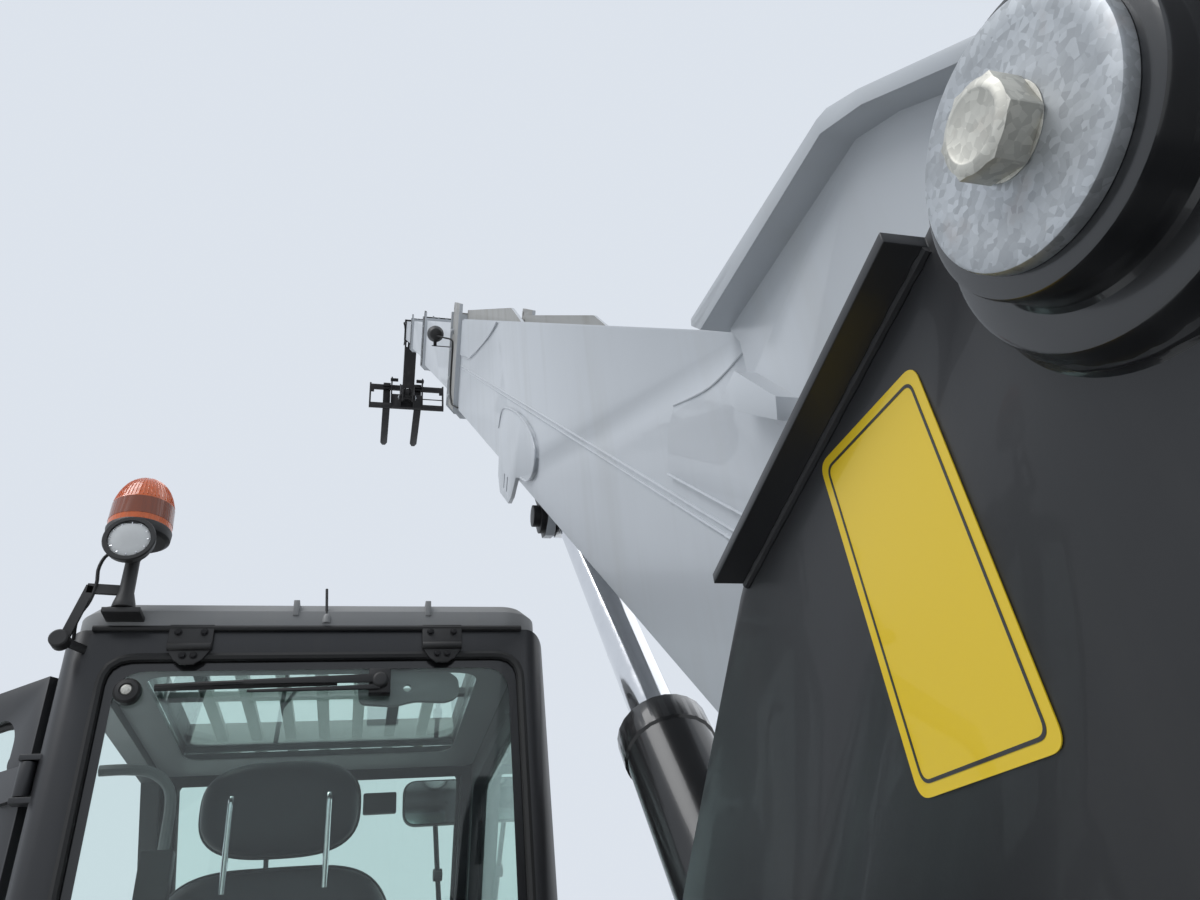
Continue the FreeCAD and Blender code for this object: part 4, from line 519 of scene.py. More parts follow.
def screw_tree():
    """Hexagon screws with a washer on every point, along the point's 'facing', each with its own spin."""
    s, given = new_tree("screws", (("Flats", "Float", 0.018), ("Height", "Float", 0.012), ("Washer", "Float", 1.7),
                                   ("Seed", "Int", 7)))
    flats, height = given["Flats"], given["Height"]
    radius = s.math("MULTIPLY", flats, 0.577)
    low = s.math("MULTIPLY", height, 0.5)
    head = s.add("GeometryNodeMeshCylinder", {"Vertices": 6, "Radius": radius, "Depth": height}).outputs[0]
    head = s.add("GeometryNodeTransform", {"Geometry": head, "Translation": s.lift(low)}).outputs[0]
    crown = {"Vertices": 18, "Radius Top": s.math("MULTIPLY", flats, 0.40), "Radius Bottom":
             s.math("MULTIPLY", flats, 0.50), "Depth": s.math("MULTIPLY", height, 0.14)}
    top = s.add("GeometryNodeMeshCone", crown).outputs[0]
    top = s.add("GeometryNodeTransform", {"Geometry": top, "Translation": s.lift(height)}).outputs[0]
    size = {"Vertices": 20, "Radius": s.math("MULTIPLY", s.math("MULTIPLY", flats, 0.5), given["Washer"]),
            "Depth": s.math("MULTIPLY", height, 0.36)}
    washer = s.add("GeometryNodeMeshCylinder", size).outputs[0]
    screw = s.add("GeometryNodeJoinGeometry")
    for part in (head, top, washer):
        s.wire(part, screw.inputs[0])
    facing = s.add("GeometryNodeInputNamedAttribute", {"Name": "facing"}, data_type="FLOAT_VECTOR").outputs[0]
    turned = s.add("FunctionNodeAlignRotationToVector", {"Vector": facing}, axis="Z").outputs[0]
    spin = s.add("FunctionNodeRandomValue", data_type="FLOAT")
    s.wire(math.tau, spin.inputs[3])
    s.wire(given["Seed"], spin.inputs["Seed"])
    own = s.add("FunctionNodeAxisAngleToRotation", {"Axis": (0, 0, 1), "Angle": spin.outputs[1]}).outputs[0]
    turned = s.add("FunctionNodeRotateRotation", {"Rotation": turned, "Rotate By": own}, rotation_space="LOCAL")
    placed = {"Points": given["Geometry"], "Instance": screw.outputs[0], "Rotation": turned.outputs[0]}
    end_tree(s, s.add("GeometryNodeInstanceOnPoints", placed).outputs[0], given["Material"])


def line_tree():
    """Round stock along paths: hoses, seals, rails, and weld beads when its ripple is set."""
    s, given = new_tree("lines", (("Radius", "Float", 0.006), ("Step", "Float", 0.02), ("Sides", "Int", 8),
                                  ("Ripple", "Float", 0.0), ("Smooth", "Bool", True), ("Seed", "Int", 3)))
    curve = s.add("GeometryNodeMeshToCurve", {"Mesh": given["Geometry"]}).outputs[0]
    soft = s.add("GeometryNodeCurveSplineType", {"Curve": curve}, spline_type="CATMULL_ROM").outputs[0]
    either = s.add("GeometryNodeSwitch", input_type="GEOMETRY")
    for value, socket in ((given["Smooth"], 0), (curve, 1), (soft, 2)):
        s.wire(value, either.inputs[socket])
    even = s.add("GeometryNodeResampleCurve", {"Curve": either.outputs[0], "Length": given["Step"]}, mode="LENGTH")
    place = s.add("GeometryNodeInputPosition").outputs[0]
    wave = s.add("ShaderNodeTexNoise", {"Vector": place, "Scale": 90.0, "W": given["Seed"]}, noise_dimensions="4D")
    swell = s.math("MULTIPLY", s.math("SUBTRACT", wave.outputs[0], 0.5), given["Ripple"])
    circle = {"Resolution": given["Sides"], "Radius": given["Radius"]}
    round_ = s.add("GeometryNodeCurvePrimitiveCircle", circle).outputs[0]
    solid = {"Curve": even.outputs[0], "Profile Curve": round_, "Scale": s.math("ADD", swell, 1.0), "Fill Caps": True}
    tube = s.add("GeometryNodeCurveToMesh", solid).outputs[0]
    end_tree(s, s.add("GeometryNodeSetShadeSmooth", {"Geometry": tube}).outputs[0], given["Material"])


def wheel_tree():
    """Repeats its mesh in a circle about a line along Y through a centre."""
    s, given = new_tree("around", (("Count", "Int", 12), ("Centre", "Vector", (0, 0, 0)), ("Seed", "Int", 1)))
    points = s.add("GeometryNodePoints", {"Count": given["Count"], "Position": given["Centre"]}).outputs[0]
    index = s.add("GeometryNodeInputIndex").outputs[0]
    angle = s.math("DIVIDE", s.math("MULTIPLY", index, math.tau), given["Count"])
    turn = s.add("FunctionNodeAxisAngleToRotation", {"Axis": (0, 1, 0), "Angle": angle}).outputs[0]
    placed = {"Points": points, "Instance": given["Geometry"], "Rotation": turn}
    end_tree(s, s.add("GeometryNodeInstanceOnPoints", placed).outputs[0], given["Material"])


def add_mesh(bm, mesh):
    bm.from_mesh(mesh)
    bpy.data.meshes.remove(mesh)


def screws(name, places, material, body, flats=0.018, height=0.012, washer=1.7):
    """Screws at (place, facing) pairs, as one piece."""
    mesh = bpy.data.meshes.new("points")
    mesh.from_pydata([tuple(p) for p, _ in places], [], [])
    facing = mesh.attributes.new("facing", "FLOAT_VECTOR", "POINT")
    for i, (_, way) in enumerate(places):
        facing.data[i].vector = way
    shape = grown("screws", mesh, flats=flats, height=height, washer=washer, material=finish(material))
    return settle(name, shape, material, body)


def lines(name, paths, material, body, radius=0.006, step=0.02, sides=8, ripple=0.0, smooth=True, closed=False):
    """Round stock along paths, as one piece."""
    shape = grown("lines", wires(paths, closed), radius=radius, step=step, sides=sides, ripple=ripple, smooth=smooth,
                  material=finish(material))
    return settle(name, shape, material, body)


def settle(name, shape, material, body):
    """Turns a grown mesh into a piece with its faces outwards."""
    bm = bmesh.new()
    bm.from_mesh(shape)
    bmesh.ops.remove_doubles(bm, verts=bm.verts, dist=1e-6)
    bpy.data.meshes.remove(shape)
    return put(name, bm, material, body)


BODY_OF = {n: b for b, ns in frame["record"]["behaviour"]["bodies"].items() for n in ns}

# which finish each CAD node takes
NODE_FINISH = {
    "chassis_frame": "frame paint", "rear_body": "frame paint", "stabiliser_housing": "frame paint",
    "stabiliser_leg_left": "black paint", "stabiliser_leg_right": "black paint", "fuel_tank_steps": "frame paint",
    "boom_pivot_pin": "zinc", "rear_axle": "cast black", "front_axle": "cast black",
    "boom_outer": "boom paint", "boom_inner_1": "boom paint", "boom_inner_2": "boom paint",
    "boom_inner_3": "boom paint", "boom_neck": "black paint", "fork_carriage": "black paint",
    "fork_tines": "black paint", "lift_rod": "chrome", "tilt_rod": "chrome", "lift_barrel": "gloss black",
    "tilt_barrel": "gloss black", "cab_frame": "cab paint", "door_frame": "cab paint", "engine_tub": "frame paint",
    "engine_cover": "cab paint", "engine_block": "engine iron", "cab_roof": "roof plastic", "cab_glass": "cab glass",
    "door_glass": "cab glass", "seat": "seat cloth", "steering_console": "black plastic",
    "cab_fittings": "black plastic",
}
for _wheel in WHEELS:
    NODE_FINISH.update({"tyre_" + _wheel: "tyre rubber", "rim_" + _wheel: "rim paint",
                        "knuckle_" + _wheel: "cast black", "mudguard_" + _wheel: "black plastic"})


class HANDLER_OT_finishes(bpy.types.Operator):
    """Gives every CAD piece its finish"""
    bl_idname = "handler.finishes"
    bl_label = "Finishes"

    def execute(self, context):
        make_finishes()
        for tree in (screw_tree, line_tree, wheel_tree):
            tree()
        for node, name in NODE_FINISH.items():
            mesh = frame["nodes"][node].data
            mesh.materials.clear()
            mesh.materials.append(finish(name))
        return {"FINISHED"}


# wheels: how a tyre and its rim are made, with +Y outwards from the wheel's middle
TYRE_HALF = ((0.150, 0.312), (0.156, 0.335), (0.167, 0.341), (0.174, 0.352), (0.187, 0.372), (0.189, 0.382),
             (0.194, 0.386), (0.199, 0.405), (0.200, 0.430), (0.199, 0.446), (0.195, 0.450), (0.199, 0.454),
             (0.199, 0.475), (0.194, 0.500), (0.182, 0.524), (0.164, 0.542), (0.140, 0.551), (0.085, 0.555))
LUGS, LUG_SLANT = 16, math.radians(24)
LUG_ROWS = ((-0.020, 0.588, 0.540, 0.026), (0.030, 0.590, 0.540, 0.027), (0.090, 0.589, 0.535, 0.029),
            (0.140, 0.584, 0.520, 0.031), (0.172, 0.566, 0.500, 0.033), (0.196, 0.520, 0.470, 0.034),
            (0.190, 0.470, 0.455, 0.034))      # y, outer radius, inner radius, half width
RIM_RING = ((-0.150, 0.310), (-0.1505, 0.326), (-0.155, 0.332), (-0.161, 0.331), (-0.162, 0.318), (-0.156, 0.302),
            (-0.110, 0.296), (-0.060, 0.290), (-0.050, 0.268), (0.030, 0.268), (0.044, 0.290), (0.110, 0.296),
            (0.156, 0.302), (0.162, 0.318), (0.161, 0.331), (0.155, 0.332), (0.1505, 0.326), (0.150, 0.310))
RIM_DISC_Y, RIM_DISC_T, RIM_HOLES, RIM_HOLE_R, RIM_HOLE_PITCH = 0.030, 0.016, 6, 0.036, 0.212
HUB_ROWS = ((-0.040, 0.060), (-0.040, 0.118), (0.046, 0.118), (0.060, 0.112), (0.062, 0.098), (0.070, 0.092),
            (0.086, 0.088), (0.092, 0.074), (0.096, 0.066), (0.102, 0.060), (0.104, 0.052), (0.104, 0.0))


def lug_pair(side):
    """Two bars of the tread, the outer half's and, half a pitch on, the inner half's."""
    bm = bmesh.new()
    for half, lead in ((1, 0.0), (-1, math.pi / LUGS)):
        rings = []
        for y, outer, inner, width in LUG_ROWS:
            mid = lead + y * math.tan(LUG_SLANT) / outer
            ring = []
            for radius, way in ((outer, -1), (outer, 1), (inner, 1.12), (inner, -1.12)):
                t = mid + way * width / radius
                ring.append(bm.verts.new((math.sin(t) * radius, half * side * y, math.cos(t) * radius)))
            rings.append(ring)
        bm.faces.new(rings[0])
        bm.faces.new(rings[-1][::-1])
        for a, b in zip(rings, rings[1:]):
            for i in range(4):
                j = (i + 1) % 4
                bm.faces.new((a[i], a[j], b[j], b[i]))
    bmesh.ops.recalc_face_normals(bm, faces=bm.faces)
    sharp = [e for e in bm.edges if e.calc_face_angle(0.0) > 0.5]
    bmesh.ops.bevel(bm, geom=sharp, offset=0.005, segments=2, affect="EDGES", clamp_overlap=True)
    mesh = bpy.data.meshes.new("bars")
    bm.to_mesh(mesh)
    bm.free()
    return mesh


def wheel_middle(wheel):
    low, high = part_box("tyre_" + wheel)
    return (Vector(low) + Vector(high)) / 2, 1 if wheel.endswith("left") else -1


class HANDLER_OT_tyres(bpy.types.Operator):
    """Tyres: a bulged carcass with slanting bars grown round it"""
    bl_idname = "handler.tyres"
    bl_label = "Tyres"

    def execute(self, context):
        for wheel in WHEELS:
            middle, side = wheel_middle(wheel)
            bm = bmesh.new()
            rows = [(y, r) for y, r in TYRE_HALF]
            rows = [(-y, r) for y, r in rows] + rows[::-1]
            lathe(bm, Vector(), Y_AXIS, rows, 96, closed=True)
            bars = grown("around", lug_pair(side), count=LUGS, material=finish("tyre rubber"))
            add_mesh(bm, bars)
            bmesh.ops.translate(bm, verts=bm.verts, vec=middle)
            name = "tyre_%s_dressed" % wheel
            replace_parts(put(name, bm, "tyre rubber", "wheel_" + wheel), "tyre_" + wheel)
        return {"FINISHED"}


class HANDLER_OT_rims(bpy.types.Operator):
    """Rims with a drop centre, a pierced disc, hub covers, wheel nuts and valves"""
    bl_idname = "handler.rims"
    bl_label = "Rims"

    def execute(self, context):
        for wheel in WHEELS:
            middle, side = wheel_middle(wheel)
            out = Y_AXIS * side
            body = "wheel_" + wheel
            x, z = Vector((1, 0, 0)), Vector((0, 0, 1))
            bm = bmesh.new()
            lathe(bm, middle, out, RIM_RING, 72, closed=True)
            disc = middle + out * RIM_DISC_Y
            spots = [(math.tau * i / RIM_HOLES) for i in range(RIM_HOLES)]
            holes = [arc_loop(disc + (x * math.cos(t) + z * math.sin(t)) * RIM_HOLE_PITCH, x, z, RIM_HOLE_R, 20)
                     for t in spots]
            prism(bm, arc_loop(disc, x, z, 0.272, 72), out * RIM_DISC_T, holes)
            rim = put("rim_%s_dressed" % wheel, bm, "rim paint", body, True, 0.003)
            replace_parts(rim, "rim_" + wheel)
            bm = bmesh.new()
            lathe(bm, middle, out, HUB_ROWS, 40)
            put("hub_" + wheel, bm, "cast black", body, True, 0.002)
            face = disc + out * RIM_DISC_T
            places = []
            for count, radius, at_y in ((10, 0.146, 0.0), (6, 0.104, 0.014)):
                for i in range(count):
                    t = math.tau * (i + 0.5) / count
                    places.append((face + out * at_y + (x * math.cos(t) + z * math.sin(t)) * radius, out))
            screws("wheel_nuts_" + wheel, places[:10], "zinc", body, 0.027, 0.020, 1.35)
            screws("hub_screws_" + wheel, places[10:], "zinc", body, 0.013, 0.008, 1.4)
            start = middle + z * 0.276 + out * 0.044
            lines("valve_" + wheel, [[start, start + out * 0.02, start + out * 0.045 - z * 0.006]], "seal rubber", body,
                  0.006, 0.01)
        return {"FINISHED"}


# CAD pieces that are shown again with merged faces and rounded edges: finish, slot, rounding
STEEL = (
    ("chassis_frame", "frame paint", "chassis_paint", 0.002), ("rear_body", "frame paint", "chassis_paint", 0.006),
    ("stabiliser_housing", "frame paint", "chassis_paint", 0.003), ("engine_tub", "frame paint", "chassis_paint", 0.005),
    ("stabiliser_leg_left", "black paint", "chassis_paint", 0.002), ("boom_neck", "black paint", "head_paint", 0.002),
    ("stabiliser_leg_right", "black paint", "chassis_paint", 0.002), ("fork_carriage", "black paint", "head_paint", 0.002),
    ("fuel_tank_steps", "frame paint", "chassis_paint", 0.004), ("fork_tines", "black paint", "fork_steel", 0.003),
    ("rear_axle", "cast black", "axle_paint", 0.006), ("front_axle", "cast black", "axle_paint", 0.006),
    ("lift_barrel", "gloss black", "cylinder_paint", 0.002), ("tilt_barrel", "gloss black", "cylinder_paint", 0.002),
    ("lift_rod", "chrome", "chrome_rod", 0.0015), ("tilt_rod", "chrome", "chrome_rod", 0.0015),
    ("engine_cover", "cab paint", "cab_paint", 0.004), ("cab_roof", "roof plastic", "roof_plastic", 0.003),
    ("cab_frame", "cab paint", "cab_paint", 0.002), ("door_frame", "cab paint", "cab_paint", 0.002),
    ("steering_console", "black plastic", "trim_plastic", 0.004))
for _wheel in WHEELS:
    STEEL += (("knuckle_" + _wheel, "cast black", "axle_paint", 0.005),
              ("mudguard_" + _wheel, "black plastic", "trim_plastic", 0.004))

# the boom's sections: front from the pivot, half width, top, height, collar's length
SECTIONS = (("boom_outer", 4.500, 0.170, -0.088, 0.478, 0.330), ("boom_inner_1", 8.083, 0.144, -0.114, 0.426, 0.150),
            ("boom_inner_2", 11.666, 0.118, -0.140, 0.374, 0.120), ("boom_inner_3", 15.249, 0.092, -0.166, 0.322, 0.0))
LIP, PATCH, LUG_PLATE, TOWER_FACE, GUARD_REAR, EYE_BOSS = 0.024, 0.006, 0.010, 0.260, 3.30, 0.056
BOSS_FACE, WASHER_R, WASHER_T, BOLT_FLATS, BOLT_HEAD = 0.310, 0.063, 0.010, 0.041, 0.020
LABEL = ((0.175, 0.014), (0.306, 0.022), (0.299, -0.222), (0.168, -0.228))       # blank plate, from the pivot
LABEL_EDGE, LABEL_LINE, LABEL_ROUND = 0.0075, 0.0022, 0.012


def boom_body(node):
    return BODY_OF[node]


class HANDLER_OT_steel(bpy.types.Operator):
    """Steel and plastic pieces with rounded edges, and smooth round stock"""
    bl_idname = "handler.steel"
    bl_label = "Steel"

    def execute(self, context):
        scale = sizes().edge / 0.0025
        for node, material, slot, edge in STEEL:
            dressed_copy(node, material, BODY_OF[node], edge * scale)
        return {"FINISHED"}


class HANDLER_OT_boom(bpy.types.Operator):
    """The four boom sections: rounded edges, dark collars on the inner ones, a grey one on the outer"""
    bl_idname = "handler.boom"
    bl_label = "Boom"

    def execute(self, context):
        for i, (node, front, half, top, height, collar) in enumerate(SECTIONS):
            dark = "collar paint" if i == 0 else "black paint"
            obj = dressed_copy(node, ("boom paint", dark, "black paint"), BODY_OF[node], 0.0018)
            eye = Vector(LIFT_EYE) if i == 0 else None
            for face in obj.data.polygons:
                place = face.center - PIVOT
                along, square = place.dot(BOOM_DIR), place.dot(BOOM_UP)
                proud = abs(place.y) > half + 0.010 or square > top + 0.010 or square < top - height - 0.010
                at_collar = along > front - collar - 0.002 and proud
                guard = i == 0 and along > GUARD_REAR and square > top + 0.003
                face.material_index = 1 if collar and (at_collar or guard or along > front - 0.002) else 0
                if eye and (Vector((along, square)) - eye).length < EYE_BOSS:
                    face.material_index = 2
            for v in obj.data.vertices if i == 1 else ():
                along = (v.co - PIVOT).dot(BOOM_DIR)
                if abs(along - front + collar) < 0.004:
                    v.co += BOOM_DIR * 0.002
        self.screws()
        self.lamp()
        return {"FINISHED"}

    def screws(self):
        """Wear pads' screws round each collar."""
        for node, front, half, top, height, collar in SECTIONS[:3]:
            places, rows = [], (0.045, 0.095) if collar > 0.2 else (0.060,)
            for back in rows:
                for share in (0.14, 0.34, 0.66, 0.86):
                    square = top - height * share
                    for side in (-1, 1):
                        places.append((on_boom(front - back, square, side * (half + LIP)), Y_AXIS * side))
                for y in (-0.6, -0.25, 0.25, 0.6):
                    places.append((on_boom(front - back, top + LIP, half * y), BOOM_UP))
                    places.append((on_boom(front - back, top - height - LIP, half * y), -BOOM_UP))
            screws("collar_screws_" + node, places, "zinc", BODY_OF[node], 0.019, 0.011, 1.7)

    def lamp(self):
        """Round work lamp on the outer collar's left front edge, with its cable."""
        middle = on_boom(4.485, -0.178, 0.282)
        bm = bmesh.new()
        lathe(bm, middle, BOOM_DIR, ((-0.034, 0.0), (-0.034, 0.016), (-0.028, 0.030), (-0.010, 0.040), (0.014, 0.044),
                                     (0.022, 0.044), (0.022, 0.038), (0.018, 0.037)), 32)
        put("boom_lamp", bm, "black plastic", "boom_1")
        bm = bmesh.new()
        lathe(bm, middle, BOOM_DIR, ((0.018, 0.037), (0.021, 0.026), (0.023, 0.012), (0.0235, 0.0)), 32)
        put("boom_lamp_lens", bm, "clear lens", "boom_1")
        bm = bmesh.new()
        foot = on_boom(4.485, -0.243, 0.0)
        prism(bm, [foot + Y_AXIS * y + BOOM_DIR * a for y, a in ((0.193, -0.02), (0.193, 0.02), (0.298, 0.02), (0.298, -0.02))],
              BOOM_UP * 0.004)
        lathe(bm, foot + Y_AXIS * 0.282, BOOM_UP, ((0.0, 0.0), (0.0, 0.009), (0.036, 0.009), (0.036, 0.0)), 12)
        put("boom_lamp_bracket", bm, "black paint", "boom_1", True, 0.001)
        side = [on_boom(a, w, y) for a, w, y in (
            (4.452, -0.186, 0.278), (4.415, -0.192, 0.246), (4.380, -0.200, 0.206), (4.362, -0.230, 0.199),
            (4.358, -0.330, 0.199), (4.350, -0.430, 0.199), (4.325, -0.478, 0.199), (4.280, -0.500, 0.199),
            (4.200, -0.520, 0.199), (4.160, -0.528, 0.186), (4.120, -0.530, 0.176))]
        lines("boom_lamp_cable", [side], "seal rubber", "boom_1", 0.0045, 0.01, 8)


class HANDLER_OT_welds(bpy.types.Operator):
    """Weld beads along the boom's seams, round its plates and along the tower's flange"""
    bl_idname = "handler.welds"
    bl_label = "Welds"

    def execute(self, context):
        bead = sizes().weld / 2
        half = SECTIONS[0][2]
        for side in (-1, 1):
            way = "left" if side > 0 else "right"
            skin, patch, lug = side * half, side * (half + PATCH), side * (half + LUG_PLATE)
            seams = [[on_boom(a, w, skin) for a in (-0.180, 1.0, 2.4, 4.168)] for w in (-0.321, -0.332)]
            brow = [on_boom(a, w, patch) for a, w in ((0.600, -0.108), (0.700, -0.159), (0.834, -0.196))]
            foot = [on_boom(a, w, patch) for a, w in ((0.831, -0.295), (0.300, -0.295), (-0.180, -0.295))]
            front = [on_boom(a, w, patch) for a, w in ((2.845, -0.094), (3.010, -0.140), (3.300, -0.196),
                                                       (3.732, -0.264), (4.168, -0.264))]
            plate = [on_boom(a, w, lug) for a, w in ((2.560, -0.440), (2.500, -0.372), (2.304, -0.354), (2.120, -0.358),
                                                     (1.981, -0.375), (1.893, -0.402), (1.862, -0.433), (1.880, -0.475),
                                                     (1.953, -0.509), (2.060, -0.520))]
            hump = [on_boom(a, w, side * (half + 0.002)) for a, w in ((0.640, -0.092), (0.590, -0.108), (0.553, -0.147),
                                                                      (0.470, -0.185), (-0.180, -0.185))]
            lines("boom_seams_" + way, seams, "boom paint", "boom_1", bead * 0.55, 0.007, 8, 1.3, False, False)
            lines("boom_welds_" + way, [brow, foot, front, hump], "boom paint", "boom_1", bead * 0.42, 0.007, 8, 0.9,
                  True, False)
            lines("lug_welds_" + way, [plate], "boom paint", "boom_1", bead * 0.6, 0.007, 8, 0.9, True, False)
            corners = Vector((0.127, 0, 0.077)), Vector((0.468, 0, 0.009))
            flange = [PIVOT + p + Vector((0, side * (TOWER_FACE + 0.001), -0.010)) for p in corners]
            boss = arc_loop(PIVOT + Y_AXIS * side * (TOWER_FACE + 0.001), Vector((1, 0, 0)), Vector((0, 0, 1)), 0.098, 48)
            lines("tower_welds_" + way, [flange], "frame paint", "chassis", bead * 0.8, 0.006, 8, 1.0, False, False)
            lines("boss_welds_" + way, [boss], "frame paint", "chassis", bead * 1.1, 0.006, 10, 0.8, False, True)
        return {"FINISHED"}


class HANDLER_OT_pivot(bpy.types.Operator):
    """The pivot's washers, bolts and stepped bosses, and the blank plate beside it"""
    bl_idname = "handler.pivot"
    bl_label = "Pivot"

    def execute(self, context):
        bm, bolts = bmesh.new(), bmesh.new()
        for side in (-1, 1):
            out = Y_AXIS * side
            r, t = WASHER_R, WASHER_T
            lathe(bm, PIVOT + out * BOSS_FACE, out, ((0.0, r - 0.002), (0.0015, r), (t - 0.0022, r), (t - 0.0008, r - 0.0006),
                                                     (t, r - 0.0025), (t, r - 0.012), (t - 0.0003, r - 0.014),
                                                     (t - 0.0003, 0.028), (t, 0.026), (t, 0.0)), 96)
            lathe(bm, PIVOT, out, ((0.20, 0.040), (BOSS_FACE, 0.040)), 48)
            self.bolt(bolts, PIVOT + out * (BOSS_FACE + t), out)
        pin = put("pivot_washers", bm, "zinc", "chassis")
        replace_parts(pin, "boom_pivot_pin")
        put("pivot_bolts", bolts, "bolt zinc", "chassis", True, 0.0006)
        bm = bmesh.new()
        for side in (-1, 1):
            out = Y_AXIS * side
            rows = ((0.0, 0.106), (0.003, 0.102), (0.010, 0.0985), (0.0195, 0.0980), (0.0222, 0.0965), (0.0232, 0.0940),
                    (0.0234, 0.0780), (0.0255, 0.0755), (0.0290, 0.0745), (0.0478, 0.0745), (0.0503, 0.0735),
                    (0.0510, 0.0710), (0.0510, 0.042))
            lathe(bm, PIVOT + out * TOWER_FACE, out, rows, 96)
        put("pivot_bosses", bm, "gloss frame", "chassis")
        self.plate()
        return {"FINISHED"}

    def bolt(self, bm, foot, out):
        """Hexagon head with its washer face and the rounded top of a forged bolt."""
        lathe(bm, foot, out, ((0.0, 0.0), (0.0, 0.0225), (0.0008, 0.0225), (0.0008, 0.0)), 40)
        radius = BOLT_FLATS / math.sqrt(3)
        side = out.orthogonal().normalized()
        turn = out.cross(side)
        ring = [(side * math.cos(math.radians(60 * i + 20)) + turn * math.sin(math.radians(60 * i + 20))) for i in range(6)]
        prism(bm, [foot + out * 0.0008 + d * radius for d in ring], out * (BOLT_HEAD - 0.003))
        lathe(bm, foot + out * (BOLT_HEAD - 0.0022), out, ((0.0, BOLT_FLATS * 0.525), (0.0017, BOLT_FLATS * 0.46),
                                                           (0.0021, BOLT_FLATS * 0.40), (0.0012, BOLT_FLATS * 0.36),
                                                           (0.0012, 0.0)), 36)

    def plate(self):
        """Blank yellow plate with rounded corners and a thin line inside its edge."""
        face = TOWER_FACE + 0.0004
        corners = [PIVOT + Vector((x, face, z)) for x, z in LABEL]
        for name, inset, deep, material in (("blank_plate", 0.0, 0.0008, "yellow plate"),):
            bm = bmesh.new()
            prism(bm, round_corners(self.inset(corners, inset), LABEL_ROUND, 8), Y_AXIS * deep)
            put(name, bm, material, "chassis", False)
        bm = bmesh.new()
        outer = round_corners(self.inset(corners, LABEL_EDGE), LABEL_ROUND * 0.75, 8)
        inner = round_corners(self.inset(corners, LABEL_EDGE + LABEL_LINE), LABEL_ROUND * 0.6, 8)
        lift = Y_AXIS * 0.0009
        prism(bm, [v + lift for v in outer], Y_AXIS * 0.0002, [[v + lift for v in inner]])
        put("blank_plate_line", bm, "plate print", "chassis", False)

    def inset(self, corners, by):
        middle = sum(corners, Vector()) / len(corners)
        out = []
        for i, corner in enumerate(corners):
            a = (corners[i - 1] - corner).normalized()
            b = (corners[(i + 1) % len(corners)] - corner).normalized()
            out.append(corner + (a + b) * by)
        return out


# the cab, forward of the rear axle, left of the boom's plane and above the ground
CAB_REAR, ROOF_FRONT, CAB_STEP, CAB_NOSE = 1.247, 2.190, 2.390, 2.700
CAB_RIGHT, CAB_LEFT, CAB_TOP, ROOF_TOP, CAB_BELT, CAB_STEP_Z = 0.205, 1.140, 2.350, 2.410, 1.640, 1.262
REAR_PANE = (0.255, 1.065, 1.560, 2.300)      # right, left, low, high
SIDE_PANE = ((1.357, 1.480), (2.570, 1.480), (2.570, 1.615), (2.145, 2.240), (1.357, 2.240))
PANE_ROUND = 0.055
DOOR_HINGE, DOOR_OPEN = (1.278, 1.154), math.radians(49)
DOOR_PANE = ((1.362, 1.392), (2.418, 1.392), (2.418, 1.800), (2.105, 2.218), (1.362, 2.218))
DOOR_LOW_PANE = ((1.362, 1.007), (2.278, 1.007), (2.278, 1.330), (1.362, 1.330))
BEACON = (1.207, 1.035, 2.410)
BEACON_ROWS = ((0.134, 0.060), (0.150, 0.0600), (0.152, 0.0585), (0.190, 0.0580), (0.193, 0.0570), (0.208, 0.0530),
               (0.224, 0.0465), (0.238, 0.0370), (0.248, 0.0250), (0.2535, 0.0120), (0.2550, 0.0))
HINGES, HINGE_Z = (0.912, 0.424), 2.320
WIPER, WIPER_TIP, KNOB = (0.547, 2.236), (0.961, 2.229), (1.009, 2.228)
SEAT = (1.577, 0.735, 1.290)


def pane_loop(points, place, inset=0.0):
    """A window's outline with rounded corners, moved inwards, as points that place() makes."""
    middle = [sum(p[i] for p in points) / len(points) for i in (0, 1)]
    corners = []
    for a, b in points:
        corners.append(place(a + math.copysign(inset, middle[0] - a), b + math.copysign(inset, middle[1] - b)))
    return round_corners(corners, PANE_ROUND, 7)


def shut_door(point):
    """From the shut door to where the open one stands."""
    pin = at(DOOR_HINGE[0], DOOR_HINGE[1], 0.0)
    return pin + Matrix.Rotation(DOOR_OPEN, 3, "Z") @ (point - pin)


def pillow(bm, middle, size, lean=0.0, square=3.2, crown=0.5, n=40):
    """A padded form: square in plan with full corners, crowned faces, drawn in at its seam."""
    turn = Matrix.Rotation(lean, 3, "Y")
    half = [s / 2 for s in size]
    rings = []
    for i in range(n // 2 + 1):
        tilt = math.pi * i / (n // 2) - math.pi / 2
        ring = []
        for j in range(n):
            t = math.tau * j / n
            flat = [math.copysign(abs(f) ** (2 / square), f) for f in (math.cos(t), math.sin(t))]
            wide, deep = math.cos(tilt) ** (2 / square), math.copysign(abs(math.sin(tilt)) ** crown, math.sin(tilt))
            ring.append(Vector((deep * half[0], flat[0] * wide * half[1], flat[1] * wide * half[2])))
        rings.append([bm.verts.new(middle + turn @ v) for v in (ring if 0 < i < n // 2 else ring[:1])])
    for a, b in zip(rings, rings[1:]):
        for j in range(n):
            k = (j + 1) % n
            corners = list(dict.fromkeys((a[j % len(a)], a[k % len(a)], b[k % len(b)], b[j % len(b)])))
            if len(corners) > 2:
                bm.faces.new(corners)


def seam(middle, size, lean=0.0, square=3.2, shift=0.0, share=1.0, n=72):
    """The loop of a pillow's piping at a depth from its middle."""
    turn = Matrix.Rotation(lean, 3, "Y")
    loop = []
    for j in range(n):
        t = math.tau * j / n
        y, z = (math.copysign(abs(f) ** (2 / square), f) for f in (math.cos(t), math.sin(t)))
        loop.append(middle + turn @ Vector((shift, y * size[1] / 2 * share, z * size[2] / 2 * share)))
    return loop


